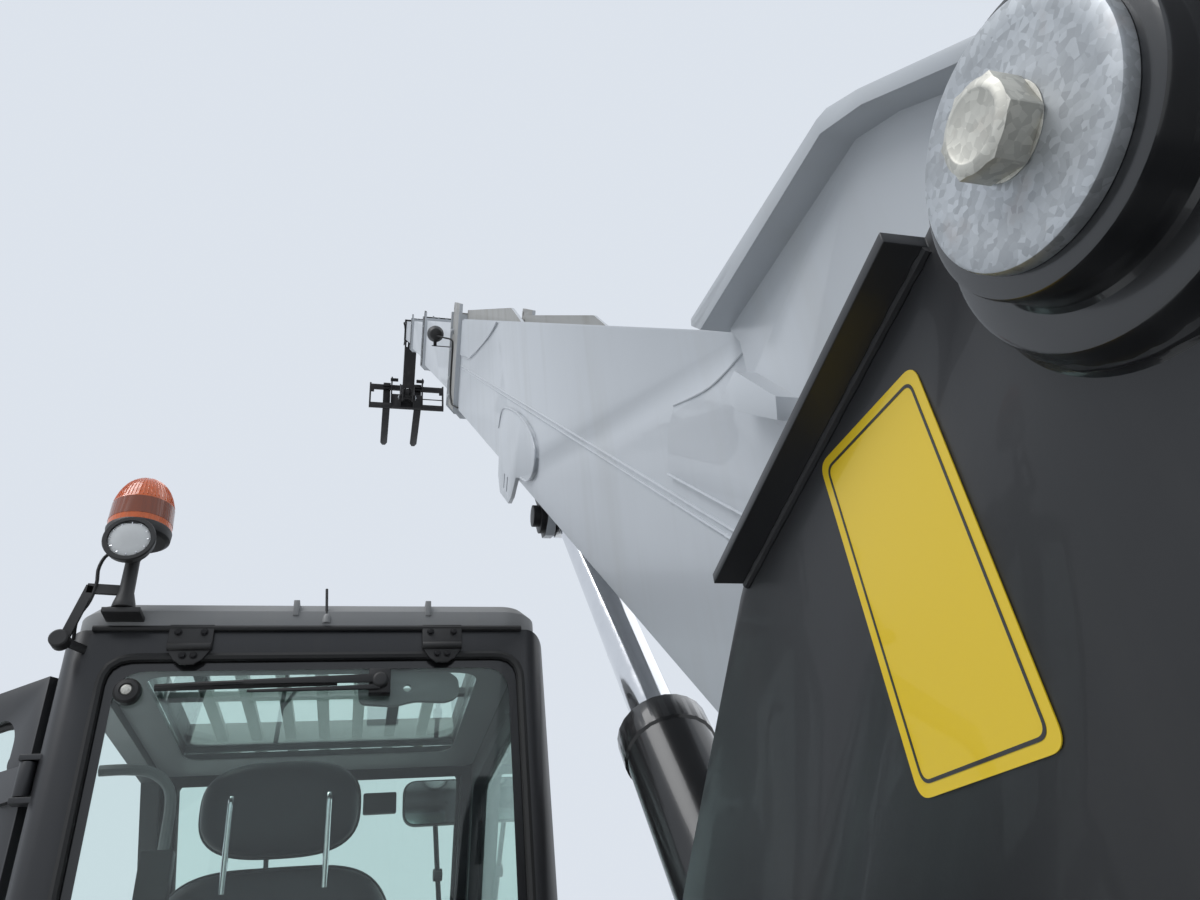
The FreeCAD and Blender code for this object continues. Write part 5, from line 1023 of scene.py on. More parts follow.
class HANDLER_OT_seat(bpy.types.Operator):
    """Padded seat: cushion, back with its channels, and a headrest on two chrome posts"""
    bl_idname = "handler.seat"
    bl_label = "Seat"

    def execute(self, context):
        x, y, z = SEAT
        lean = math.radians(-7)
        forms = (("seat_headrest", at(x - 0.004, y, z + 0.785), (0.112, 0.322, 0.190), lean * 0.5, 2.9),
                 ("seat_back", at(x + 0.044, y, z + 0.390), (0.125, 0.480, 0.560), lean * 1.1, 4.2),
                 ("seat_cushion", at(x + 0.260, y, z + 0.055), (0.115, 0.480, 0.490), math.radians(90), 4.6))
        for name, middle, size, turn, square in forms:
            bm = bmesh.new()
            pillow(bm, middle, size, turn, square)
            piece = put(name, bm, "seat cloth", "chassis")
            if name == "seat_cushion":
                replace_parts(piece, "seat")
            lines(name + "_piping", [seam(middle, size, turn, square, 0.0, 1.0)], "seal rubber", "chassis", 0.004, 0.012,
                  6, 0.0, True, True)
            inner = [seam(middle, size, turn, square, d * size[0] * 0.43, 0.66) for d in (-1, 1)]
            lines(name + "_stitches", inner, "seal rubber", "chassis", 0.0022, 0.010, 6, 1.0, True, True)
        posts = [[at(x + back, y + s * 0.098, z + up) for back, up in ((-0.038, 0.620), (-0.0620, 0.780), (-0.052, 0.794))]
                 for s in (-1, 1)]
        lines("seat_posts", posts, "chrome", "chassis", 0.0065, 0.008, 14, 0.0, True)
        bm = bmesh.new()
        block(bm, at(x + 0.060, y - 0.170, 0.951), at(x + 0.420, y + 0.170, z - 0.075))
        block(bm, at(x + 0.030, y - 0.205, z - 0.075), at(x + 0.470, y + 0.205, z - 0.005))
        for s in (-1, 1):
            block(bm, at(x + 0.060, y + s * 0.262 - 0.026, z + 0.185), at(x + 0.330, y + s * 0.262 + 0.026, z + 0.228))
            block(bm, at(x + 0.050, y + s * 0.245 - 0.012, z + 0.020), at(x + 0.085, y + s * 0.245 + 0.012, z + 0.200))
        put("seat_base", bm, "black plastic", "chassis", True, 0.010)
        folds = [[at(x + 0.057, y - 0.172 + 0.0, 1.0 + k * 0.035), at(x + 0.423, y - 0.172, 1.0 + k * 0.035),
                  at(x + 0.423, y + 0.172, 1.0 + k * 0.035), at(x + 0.057, y + 0.172, 1.0 + k * 0.035)] for k in range(6)]
        lines("seat_bellows", folds, "seal rubber", "chassis", 0.010, 0.03, 6, 0.0, False, True)
        return {"FINISHED"}


class HANDLER_OT_windows(bpy.types.Operator):
    """Rubber seals and dark edge bands of the cab's windows"""
    bl_idname = "handler.windows"
    bl_label = "Windows"

    def execute(self, context):
        right, left, low, high = REAR_PANE
        rear = ((right, low), (left, low), (left, high), (right, high))

        def at_rear(depth):
            return lambda y, z: at(CAB_REAR + depth, y, z)

        def at_side(depth):
            return lambda x, z: at(x, CAB_RIGHT + depth, z)

        def at_door(depth):
            return lambda x, z: shut_door(at(x, CAB_LEFT - depth, z))

        seals = (("rear", rear, at_rear(0.006), "chassis", 0.009), ("side", SIDE_PANE, at_side(0.010), "chassis", 0.008),
                 ("door", DOOR_PANE, at_door(0.022), "door", 0.008), ("door_low", DOOR_LOW_PANE, at_door(0.022), "door", 0.008))
        for name, points, place, body, radius in seals:
            lines("seal_" + name, [pane_loop(points, place, 0.004)], "seal rubber", body, radius, 0.02, 8, 0.0, False, True)
        bands = (("rear", rear, at_rear(0.0112), "chassis", Vector((0.0006, 0, 0)), 0.030),
                 ("side", SIDE_PANE, at_side(0.0132), "chassis", Vector((0, 0.0006, 0)), 0.024))
        for name, points, place, body, deep, wide in bands:
            bm = bmesh.new()
            prism(bm, pane_loop(points, place, 0.002), deep, [pane_loop(points, place, wide)])
            put("band_" + name, bm, "gloss black", body, False)
        self.front()
        return {"FINISHED"}

    def front(self):
        """Seal of the slanted windscreen and its long wiper."""
        low, high = at(CAB_NOSE, 0.0, CAB_BELT), at(ROOF_FRONT, 0.0, CAB_TOP)
        up = (high - low).normalized()
        out = Vector((up.z, 0.0, -up.x))
        a, b = low + up * 0.052 - out * 0.010, high - up * 0.057 - out * 0.010
        y0, y1 = Y_AXIS * (CAB_RIGHT + 0.078), Y_AXIS * (CAB_LEFT - 0.078)
        loop = round_corners([a + y0, b + y0, b + y1, a + y1], 0.02, 4)
        lines("seal_front", [loop], "seal rubber", "chassis", 0.009, 0.02, 8, 0.0, False, True)
        pivot = low + up * 0.020 + out * 0.012 + Y_AXIS * 0.66
        tip = pivot + up * 0.52 + Y_AXIS * 0.16
        lines("front_wiper", [[pivot, pivot + up * 0.05 + out * 0.012, tip]], "black plastic", "chassis", 0.006, 0.02, 6)
        blade = [[tip - up * 0.24 - out * 0.004, tip + up * 0.19 - out * 0.004]]
        lines("front_wiper_blade", blade, "seal rubber", "chassis", 0.007, 0.05, 6)


class HANDLER_OT_rear_window(bpy.types.Operator):
    """Hinges, wiper, latch knob, aerial and clips at the cab's rear window"""
    bl_idname = "handler.rear_window"
    bl_label = "Rear window"

    def execute(self, context):
        back = Vector((-1, 0, 0))
        bm, places = bmesh.new(), []
        for y in HINGES:
            plate = ((-0.041, 0.038), (0.041, 0.038), (0.041, -0.012), (0.026, -0.034), (0.012, -0.044), (-0.012, -0.044),
                     (-0.026, -0.034), (-0.041, -0.012))
            prism(bm, [at(CAB_REAR - 0.003, y + a, HINGE_Z + b) for a, b in plate], Vector((-0.005, 0, 0)))
            lathe(bm, at(CAB_REAR - 0.008, y - 0.040, HINGE_Z - 0.008), Y_AXIS, ((0, 0.0), (0, 0.008), (0.08, 0.008), (0.08, 0)), 14)
            places += [(at(CAB_REAR - 0.008, y + s * 0.024, HINGE_Z + 0.022), back) for s in (-1, 1)]
            places += [(at(CAB_REAR - 0.008, y + s * 0.010, HINGE_Z - 0.026), back) for s in (-1, 1)]
        put("window_hinges", bm, "black plastic", "chassis", True, 0.0015)
        screws("window_hinge_screws", places, "black paint", "chassis", 0.010, 0.005, 1.5)
        self.wiper(back)
        bm = bmesh.new()
        lathe(bm, at(CAB_REAR + 0.013, KNOB[0], KNOB[1]), back, ((0, 0.024), (0.006, 0.025), (0.016, 0.024), (0.021, 0.020),
                                                                 (0.023, 0.013), (0.021, 0.012), (0.021, 0)), 32)
        put("window_knob", bm, "black plastic", "chassis")
        bm = bmesh.new()
        lathe(bm, at(CAB_REAR - 0.008, KNOB[0], KNOB[1]), back, ((0, 0.010), (0.003, 0.009), (0.004, 0.006), (0.004, 0)), 24)
        put("window_knob_screw", bm, "bolt zinc", "chassis")
        lines("aerial", [[at(CAB_REAR - 0.004, 0.659, 2.372), at(CAB_REAR - 0.004, 0.661, 2.405),
                          at(CAB_REAR - 0.004, 0.663, 2.439)]], "black plastic", "chassis", 0.0028, 0.02, 8)
        bm = bmesh.new()
        lathe(bm, at(CAB_REAR - 0.004, 0.659, 2.362), Vector((0, 0, 1)), ((0, 0.009), (0.012, 0.009), (0.020, 0.005), (0.022, 0)), 16)
        for y in (0.453, 0.720):
            block(bm, at(CAB_REAR - 0.010, y - 0.006, 2.378), at(CAB_REAR + 0.02, y + 0.006, 2.412))
        put("roof_clips", bm, "roof plastic", "chassis", True, 0.002)
        drip = [[at(CAB_REAR - 0.003, y, 2.352) for y in (CAB_RIGHT + 0.05, CAB_LEFT - 0.05)]]
        lines("roof_joint", drip, "seal rubber", "chassis", 0.006, 0.05, 8, 0.0, False)
        return {"FINISHED"}

    def wiper(self, back):
        y, z = WIPER
        bm = bmesh.new()
        shape = ((0.045, 0.030), (0.020, 0.042), (-0.060, 0.040), (-0.085, 0.030), (-0.135, 0.032), (-0.160, 0.016),
                 (-0.160, -0.022), (-0.135, -0.034), (-0.070, -0.030), (-0.030, -0.040), (0.040, -0.034))
        outline = round_corners([at(CAB_REAR + 0.024, y + a, z + b) for a, b in shape], 0.014, 3)
        hole = arc_loop(at(CAB_REAR + 0.024, y - 0.055, z - 0.003), Y_AXIS, Vector((0, 0, 1)), 0.008, 14)
        prism(bm, outline, Vector((0.012, 0, 0)), [hole])
        put("wiper_cover", bm, "roof plastic", "chassis", True, 0.002)
        bm = bmesh.new()
        block(bm, at(CAB_REAR - 0.014, y - 0.020, z - 0.024), at(CAB_REAR + 0.010, y + 0.022, z + 0.026))
        lathe(bm, at(CAB_REAR - 0.012, y, z), back, ((0, 0.016), (0.010, 0.016), (0.014, 0.012), (0.014, 0)), 20)
        tip = Vector(at(0, *WIPER_TIP)) - Vector(at(0, *WIPER))
        for low, high, wide in ((0.004, 0.62, 0.009), (-0.014, 0.60, 0.005)):
            foot = at(CAB_REAR - 0.016, y, z) + Vector((0, 0, low))
            end = foot + tip * high
            prism(bm, [foot + Vector((0, 0, -wide)), foot + Vector((0, 0, wide)), end + Vector((0, 0, wide * 0.5)),
                       end + Vector((0, 0, -wide * 0.5))], Vector((-0.006, 0, 0)))
        put("wiper_arms", bm, "black plastic", "chassis", True, 0.0015)
        start, end = at(CAB_REAR - 0.008, y, z) + tip * 0.20, at(CAB_REAR - 0.008, *WIPER_TIP)
        bow = [start.lerp(end, t) + Vector((-0.010 * math.sin(math.pi * t), 0, 0.004)) for t in (0, 0.25, 0.5, 0.75, 1)]
        lines("wiper_blade", [[start, end]], "seal rubber", "chassis", 0.005, 0.03, 6, 0.0, False)
        lines("wiper_bow", [bow], "black plastic", "chassis", 0.0045, 0.03, 6)


class HANDLER_OT_beacon(bpy.types.Operator):
    """Ribbed beacon on its stalk, the round work lamp under it, and the arm with a small side lamp"""
    bl_idname = "handler.beacon"
    bl_label = "Beacon"

    def execute(self, context):
        base, up, back = at(*BEACON), Vector((0, 0, 1)), Vector((-1, 0, 0))
        bm = bmesh.new()
        lathe(bm, base, up, BEACON_ROWS, 64)
        put("beacon_dome", bm, "amber lens", "chassis")
        ribs = []
        for i in range(48):
            t = math.tau * i / 48
            way = Vector((math.cos(t), math.sin(t), 0))
            ribs.append([base + up * z + way * (r + 0.0002) for z, r in BEACON_ROWS[4:9]])
        lines("beacon_ribs", ribs, "amber lens", "chassis", 0.0011, 0.01, 6)
        bm = bmesh.new()
        lathe(bm, base, up, ((0.149, 0.0605), (0.188, 0.0590), (0.188, 0.0580), (0.149, 0.0600)), 64, True)
        put("beacon_band", bm, "dark amber", "chassis")
        bm = bmesh.new()
        lathe(bm, base, up, ((0.112, 0.0), (0.112, 0.052), (0.117, 0.060), (0.134, 0.0615), (0.137, 0.060), (0.137, 0.0)), 48)
        lathe(bm, base, up, ((-0.034, 0.0), (-0.034, 0.022), (-0.022, 0.020), (0.000, 0.014), (0.070, 0.013), (0.088, 0.020),
                             (0.104, 0.026), (0.112, 0.034), (0.112, 0.0)), 28)
        block(bm, base + Vector((-0.016, -0.034, -0.046)), base + Vector((0.034, 0.034, -0.036)))
        put("beacon_stalk", bm, "black plastic", "chassis", True, 0.001)
        self.lamp(base + Vector((-0.024, 0, 0.088)), back)
        knee, tip, foot = base + Vector((0, 0.066, 0.010)), base + Vector((0, 0.092, -0.096)), at(1.246, 1.095, 2.310)
        bm = bmesh.new()
        for a, b, wide in ((base + Vector((0, 0, 0.006)), knee, 0.010), (knee, tip, 0.009), (tip, foot, 0.008)):
            along = (b - a).normalized()
            across = along.cross(Vector((1, 0, 0))).normalized() * wide
            prism(bm, [a - across - along * 0.006, b - across + along * 0.006, b + across + along * 0.006,
                       a + across - along * 0.006], Vector((0.007, 0, 0)))
        lathe(bm, tip + Vector((0.022, 0.004, 0)), back, ((0, 0), (0, 0.012), (0.010, 0.017), (0.034, 0.017), (0.036, 0.014),
                                                          (0.036, 0)), 24)
        put("side_lamp_arm", bm, "black plastic", "chassis", True, 0.001)
        cable = [base + Vector(p) for p in ((0.0, 0.030, 0.096), (-0.002, 0.050, 0.078), (-0.002, 0.058, 0.050),
                                            (0.0, 0.056, 0.020), (0.004, 0.062, -0.016), (0.010, 0.078, -0.050),
                                            (0.030, 0.082, -0.084))]
        lines("beacon_cable", [cable], "seal rubber", "chassis", 0.0035, 0.01, 8)
        return {"FINISHED"}

    def lamp(self, middle, out):
        """Round lamp: finned body, bezel, and cells of a reflector behind its glass."""
        body = bmesh.new()
        rows = [(0.0, 0.0), (0.0, 0.024)] + [(0.004 + 0.003 * i, 0.034 + 0.005 * (i % 2)) for i in range(6)]
        lathe(body, middle, out, rows + [(0.022, 0.046), (0.036, 0.048), (0.039, 0.046), (0.039, 0.039), (0.034, 0.0375)], 40)
        put("work_lamp", body, "black plastic", "chassis")
        bm = bmesh.new()
        lathe(bm, middle, out, ((0.030, 0.0), (0.030, 0.010), (0.0345, 0.0375)), 40)
        put("work_lamp_bowl", bm, "chrome", "chassis")
        cells = []
        side, turn = Y_AXIS, Vector((0, 0, 1))
        for i in range(12):
            t = math.tau * i / 12
            way = side * math.cos(t) + turn * math.sin(t)
            cells.append([middle + out * 0.031 + way * 0.011, middle + out * 0.036 + way * 0.036])
        lines("work_lamp_cells", cells, "chrome", "chassis", 0.0016, 0.02, 6, 0.0, False)
        bm = bmesh.new()
        lathe(bm, middle, out, ((0.0345, 0.0376), (0.0372, 0.030), (0.0385, 0.014), (0.0390, 0.0)), 40)
        glass = put("work_lamp_glass", bm, "clear lens", "chassis")
        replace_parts(glass, "cab_fittings")


class HANDLER_OT_mirrors(bpy.types.Operator):
    """Outside mirrors on stems, and the lamps on the roof's front edge"""
    bl_idname = "handler.mirrors"
    bl_label = "Mirrors and lamps"

    def execute(self, context):
        for name, place, size in (("right", (2.440, 0.335, 2.262), (0.205, 0.135)), ("left", (2.670, 1.290, 1.930), (0.150, 0.250))):
            middle = at(*place)
            corners = [Vector((0, a * size[0] / 2, b * size[1] / 2)) for a, b in ((-1, -1), (1, -1), (1, 1), (-1, 1))]
            bm = bmesh.new()
            rings = []
            for depth, share in ((-0.020, 0.965), (-0.022, 0.985), (-0.016, 1.0), (0.004, 0.99), (0.018, 0.90), (0.026, 0.66)):
                loop = round_corners([c * share for c in corners], 0.045 * share, 7)
                rings.append([bm.verts.new(middle + v + Vector((depth, 0, 0))) for v in loop])
            for a, b in zip(rings, rings[1:]):
                for i in range(len(a)):
                    j = (i + 1) % len(a)
                    bm.faces.new((a[i], a[j], b[j], b[i]))
            bm.faces.new(rings[0])
            bm.faces.new(rings[-1][::-1])
            put("mirror_" + name, bm, "black plastic", "chassis")
            bm = bmesh.new()
            prism(bm, [middle + v * 0.93 + Vector((-0.0225, 0, 0)) for v in round_corners(corners, 0.04, 7)], Vector((0.0015, 0, 0)))
            put("mirror_glass_" + name, bm, "mirror", "chassis")
            foot = at(2.736, 0.275 if name == "right" else 1.080, 1.610)
            top = middle + Vector((0.012, 0, -size[1] * 0.30))
            knee = top.lerp(foot, 0.25) + Vector((0.010, 0, 0))
            lines("mirror_stem_" + name, [[foot, foot.lerp(knee, 0.5), knee, top]], "black plastic", "chassis", 0.008, 0.03, 10)
            bm = bmesh.new()
            lathe(bm, knee + Y_AXIS * -0.014, Y_AXIS, ((0, 0), (0, 0.018), (0.028, 0.018), (0.028, 0)), 20)
            block(bm, at(CAB_NOSE, foot.y - GROUND.y - 0.025, 1.580), at(2.744, foot.y - GROUND.y + 0.019, 1.630))
            put("mirror_foot_" + name, bm, "black plastic", "chassis", True, 0.002)
        ahead = Vector((1, 0, 0))
        for i, y in enumerate((CAB_RIGHT + 0.120, CAB_LEFT - 0.120)):
            middle = at(ROOF_FRONT + 0.040, y, CAB_TOP + 0.025)
            bm = bmesh.new()
            lathe(bm, middle, ahead, ((0, 0), (0, 0.024), (0.012, 0.036), (0.034, 0.044), (0.050, 0.045), (0.054, 0.042), (0.048, 0.039)), 36)
            block(bm, at(ROOF_FRONT + 0.018, y - 0.012, CAB_TOP + 0.005), at(ROOF_FRONT + 0.042, y + 0.012, CAB_TOP + 0.045))
            put("roof_lamp_%d" % i, bm, "black plastic", "chassis", True, 0.001)
            bm = bmesh.new()
            lathe(bm, middle, ahead, ((0.044, 0.0395), (0.049, 0.030), (0.052, 0.015), (0.0525, 0)), 36)
            put("roof_lamp_lens_%d" % i, bm, "clear lens", "chassis")
        return {"FINISHED"}


class HANDLER_OT_cab_inside(bpy.types.Operator):
    """What shows through the windows: dashboard, side console with its lever, grab rail, clips and lining"""
    bl_idname = "handler.cab_inside"
    bl_label = "Cab inside"

    def execute(self, context):
        x, y, z = SEAT
        bm = bmesh.new()
        prism(bm, [at(a, 0.270, b) for a, b in ((2.300, 1.330), (2.640, 1.330), (2.640, 1.600), (2.560, 1.625), (2.420, 1.600),
                                                (2.330, 1.520))], Y_AXIS * 0.800)
        put("dashboard", bm, "black plastic", "chassis", True, 0.018)
        bm = bmesh.new()
        block(bm, at(x - 0.06, 0.255, 0.953), at(x + 0.52, 0.425, z + 0.10))
        block(bm, at(x + 0.04, 0.300, z + 0.10), at(x + 0.46, 0.400, z + 0.165))
        put("side_console", bm, "black plastic", "chassis", True, 0.014)
        lever = at(x + 0.40, 0.350, z + 0.165)
        bm = bmesh.new()
        lathe(bm, lever, Vector((0.05, 0, 1)), ((0, 0.045), (0.014, 0.040), (0.022, 0.028), (0.034, 0.024), (0.044, 0.015),
                                                (0.050, 0.009), (0.090, 0.009), (0.094, 0.020), (0.120, 0.025), (0.165, 0.024),
                                                (0.190, 0.020), (0.198, 0.010), (0.199, 0)), 28)
        put("lever", bm, "seal rubber", "chassis")
        rail = [at(*p) for p in ((1.500, 1.090, 2.150), (1.500, 1.032, 2.150), (1.500, 0.985, 2.140), (1.500, 0.950, 2.100),
                                 (1.500, 0.946, 2.011), (1.500, 0.952, 1.900))]
        lines("grab_rail", [rail], "roof plastic", "chassis", 0.011, 0.015, 10)
        bm = bmesh.new()
        block(bm, at(1.482, 0.925, 1.860), at(1.520, 0.985, 1.990))
        block(bm, at(2.110, 0.470, 2.170), at(2.128, 0.560, 2.225))
        put("inside_clips", bm, "black plastic", "chassis", True, 0.004)
        bm = bmesh.new()
        outer = [at(a, b, CAB_TOP - 0.050) for a, b in ((1.296, 0.254), (2.150, 0.254), (2.150, 1.090), (1.296, 1.090))]
        inner = [at(a, b, CAB_TOP - 0.050) for a, b in ((1.372, 0.330), (2.005, 0.330), (2.005, 1.015), (1.372, 1.015))]
        prism(bm, round_corners(outer, 0.03, 4), Vector((0, 0, 0.003)), [round_corners(inner, 0.06, 6)])
        put("roof_lining", bm, "roof plastic", "chassis", False)
        return {"FINISHED"}


# the lower body: engine lid, tank with its steps, tail, and the frame's front
POD_REAR, POD_FRONT, POD_RIGHT, POD_SPLIT = 0.760, 2.290, -1.160, 1.022
LOUVRES, LOUVRE_PITCH, LOUVRE_ROWS, LOUVRE_SIZE = 11, 0.048, (1.080, 1.200), (0.020, 0.096)
STEPS_X, STEPS_Y, STEPS_Z = (1.430, 2.145), (0.885, 1.095), (0.544, 0.734)
TAIL_X, TAIL_LAMPS = -0.985, (("red lens", 0.400), ("amber lens", 0.480), ("clear lens", 0.560))
SHAFT_Z, GEARBOX = 0.590, (1.200, 1.760)
LAST_FRONT = SECTIONS[3][1]
LIFT_FOOT, LIFT_EYE, LIFT_OUT, LIFT_R = (0.2778, 0.8293), (2.165, -0.650), 0.970, 0.087
TILT_BASE, TILT_OUT, TILT_R = (LAST_FRONT + 0.120, -0.480), 0.330, 0.048
NECK_PIN, TILT_LUG = (LAST_FRONT + 0.400, -1.500), Vector((-0.055, 0.0, 0.185))
UP = Vector((0, 0, 1))
BACK = Vector((-1, 0, 0))


def pin_head(bm, middle, out, radius, deep=0.008):
    """Keeper disc of a pin, with a turned edge."""
    lathe(bm, middle, out, ((0.0, 0.0), (0.0, radius), (deep - 0.002, radius), (deep, radius - 0.002), (deep, radius * 0.5),
                            (deep + 0.003, radius * 0.46), (deep + 0.003, 0.0)), 32)


class HANDLER_OT_engine_side(bpy.types.Operator):
    """Engine lid's seam, latches, louvre hoods with mesh behind them, and the exhaust"""
    bl_idname = "handler.engine_side"
    bl_label = "Engine side"

    def execute(self, context):
        seam_path = [at(x, y, POD_SPLIT) for x, y in ((POD_REAR - 0.001, -0.300), (POD_REAR - 0.001, POD_RIGHT - 0.001),
                                                      (POD_FRONT + 0.001, POD_RIGHT - 0.001), (POD_FRONT + 0.001, -0.300))]
        lines("lid_seam", [seam_path], "seal rubber", "chassis", 0.005, 0.05, 8, 0.0, False)
        hoods, first = bmesh.new(), POD_REAR + 0.140
        wide, tall = LOUVRE_SIZE
        for row in LOUVRE_ROWS:
            for i in range(LOUVRES):
                x = first + i * LOUVRE_PITCH
                lip = [at(x + a, POD_RIGHT + b, row - 0.002) for a, b in ((-0.008, 0.001), (-0.004, 0.001), (0.016, -0.012),
                                                                          (0.014, -0.014))]
                prism(hoods, lip, UP * (tall + 0.004))
        put("louvre_hoods", hoods, "cab paint", "engine_lid", True)
        y, right = POD_RIGHT + 0.019, first + LOUVRES * LOUVRE_PITCH
        low, high = LOUVRE_ROWS[0] - 0.02, LOUVRE_ROWS[1] + tall + 0.02
        mesh = [[at(first - 0.02 + i * 0.0125, y, low), at(first - 0.02 + i * 0.0125, y, high)]
                for i in range(int((right - first + 0.02) / 0.0125))]
        mesh += [[at(first - 0.02, y, low + i * 0.0125), at(right, y, low + i * 0.0125)] for i in range(int((high - low) / 0.0125))]
        lines("louvre_mesh", mesh, "black paint", "engine_lid", 0.0016, 0.6, 4, 0.0, False)
        latches, places = bmesh.new(), []
        for x in (POD_REAR + 0.22, POD_FRONT - 0.22):
            middle = at(x, POD_RIGHT, POD_SPLIT + 0.055)
            lathe(latches, middle, -Y_AXIS, ((0.0, 0.0), (0.0, 0.036), (0.004, 0.036), (0.007, 0.031), (0.007, 0.022), (0.003, 0.020),
                                             (0.003, 0.010), (0.010, 0.009), (0.010, 0.0)), 32)
            block(latches, middle + Vector((-0.026, -0.015, -0.006)), middle + Vector((0.026, -0.009, 0.006)))
            places += [(middle + Vector((s * 0.048, 0, 0.0)), -Y_AXIS) for s in (-1, 1)]
        put("lid_latches", latches, "black plastic", "engine_lid", True, 0.001)
        screws("lid_screws", places, "black paint", "engine_lid", 0.010, 0.005, 1.6)
        pipe = [at(*p) for p in ((0.762, -0.430, 0.900), (0.715, -0.430, 0.900), (0.690, -0.430, 0.940), (0.690, -0.430, 1.200),
                                 (0.690, -0.430, 1.480), (0.680, -0.430, 1.580), (0.630, -0.430, 1.640))]
        lines("exhaust_pipe", [pipe], "bare steel", "chassis", 0.030, 0.012, 24)
        guard = bmesh.new()
        for z in (1.00, 1.16, 1.32, 1.45):
            lathe(guard, at(0.690, -0.430, z), UP, ((0.0, 0.031), (0.0, 0.037), (0.022, 0.037), (0.022, 0.031)), 28, True)
        for i in range(14):
            t = math.tau * i / 14
            side = Vector((math.cos(t), math.sin(t), 0)) * 0.036
            across = Vector((-math.sin(t), math.cos(t), 0)) * 0.0045
            foot = at(0.690, -0.430, 1.00) + side
            prism(guard, [foot - across, foot + across, foot + across + side * 0.05, foot - across + side * 0.05], UP * 0.47)
        put("exhaust_guard", guard, "black paint", "chassis")
        return {"FINISHED"}


class HANDLER_OT_tank_side(bpy.types.Operator):
    """Fuel tank's filler and straps, and the ribs that give grip on its steps"""
    bl_idname = "handler.tank_side"
    bl_label = "Tank and steps"

    def execute(self, context):
        grip = []
        for z in STEPS_Z:
            for i in range(7):
                y = STEPS_Y[0] + 0.012 + i * (STEPS_Y[1] - STEPS_Y[0] - 0.024) / 6
                grip += [[at(x, y, z + 0.001), at(x + 0.046, y, z + 0.001)] for x in
                         [STEPS_X[0] + 0.025 + k * 0.068 for k in range(10)]]
        lines("step_grip", grip, "bare steel", "chassis", 0.0045, 0.06, 6, 0.0, False)
        filler = at(1.265, 0.880, 0.800)
        bm = bmesh.new()
        lathe(bm, filler, Y_AXIS, ((0.0, 0.0), (0.0, 0.052), (0.008, 0.048), (0.030, 0.038), (0.034, 0.038)), 32)
        rows = ((0.034, 0.044), (0.052, 0.045), (0.060, 0.040), (0.062, 0.016), (0.070, 0.015), (0.070, 0.0))
        lathe(bm, filler, Y_AXIS, ((0.034, 0.0),) + rows, 32)
        for i in range(16):
            t = math.tau * i / 16
            way = Vector((math.cos(t), 0, math.sin(t)))
            foot = filler + Y_AXIS * 0.036 + way * 0.045
            across = Vector((-way.z, 0, way.x)) * 0.003
            prism(bm, [foot - across, foot + across, foot + across + way * 0.003, foot - across + way * 0.003], Y_AXIS * 0.016)
        put("filler_cap", bm, "black plastic", "chassis")
        bm = bmesh.new()
        for x in (1.345, 2.195):
            block(bm, at(x - 0.022, 0.880, 0.516), at(x + 0.022, 0.884, 0.884))
            block(bm, at(x - 0.022, 0.285, 0.516), at(x + 0.022, 0.884, 0.520))
        put("tank_straps", bm, "zinc", "chassis", True)
        places = [(at(x, 0.884, 0.545), Y_AXIS) for x in (1.345, 2.195)]
        places += [(at(x, 1.100, z), Y_AXIS) for x in (1.460, 2.115) for z in (0.532, 0.722)]
        screws("tank_screws", places, "zinc", "chassis", 0.014, 0.009, 1.6)
        return {"FINISHED"}


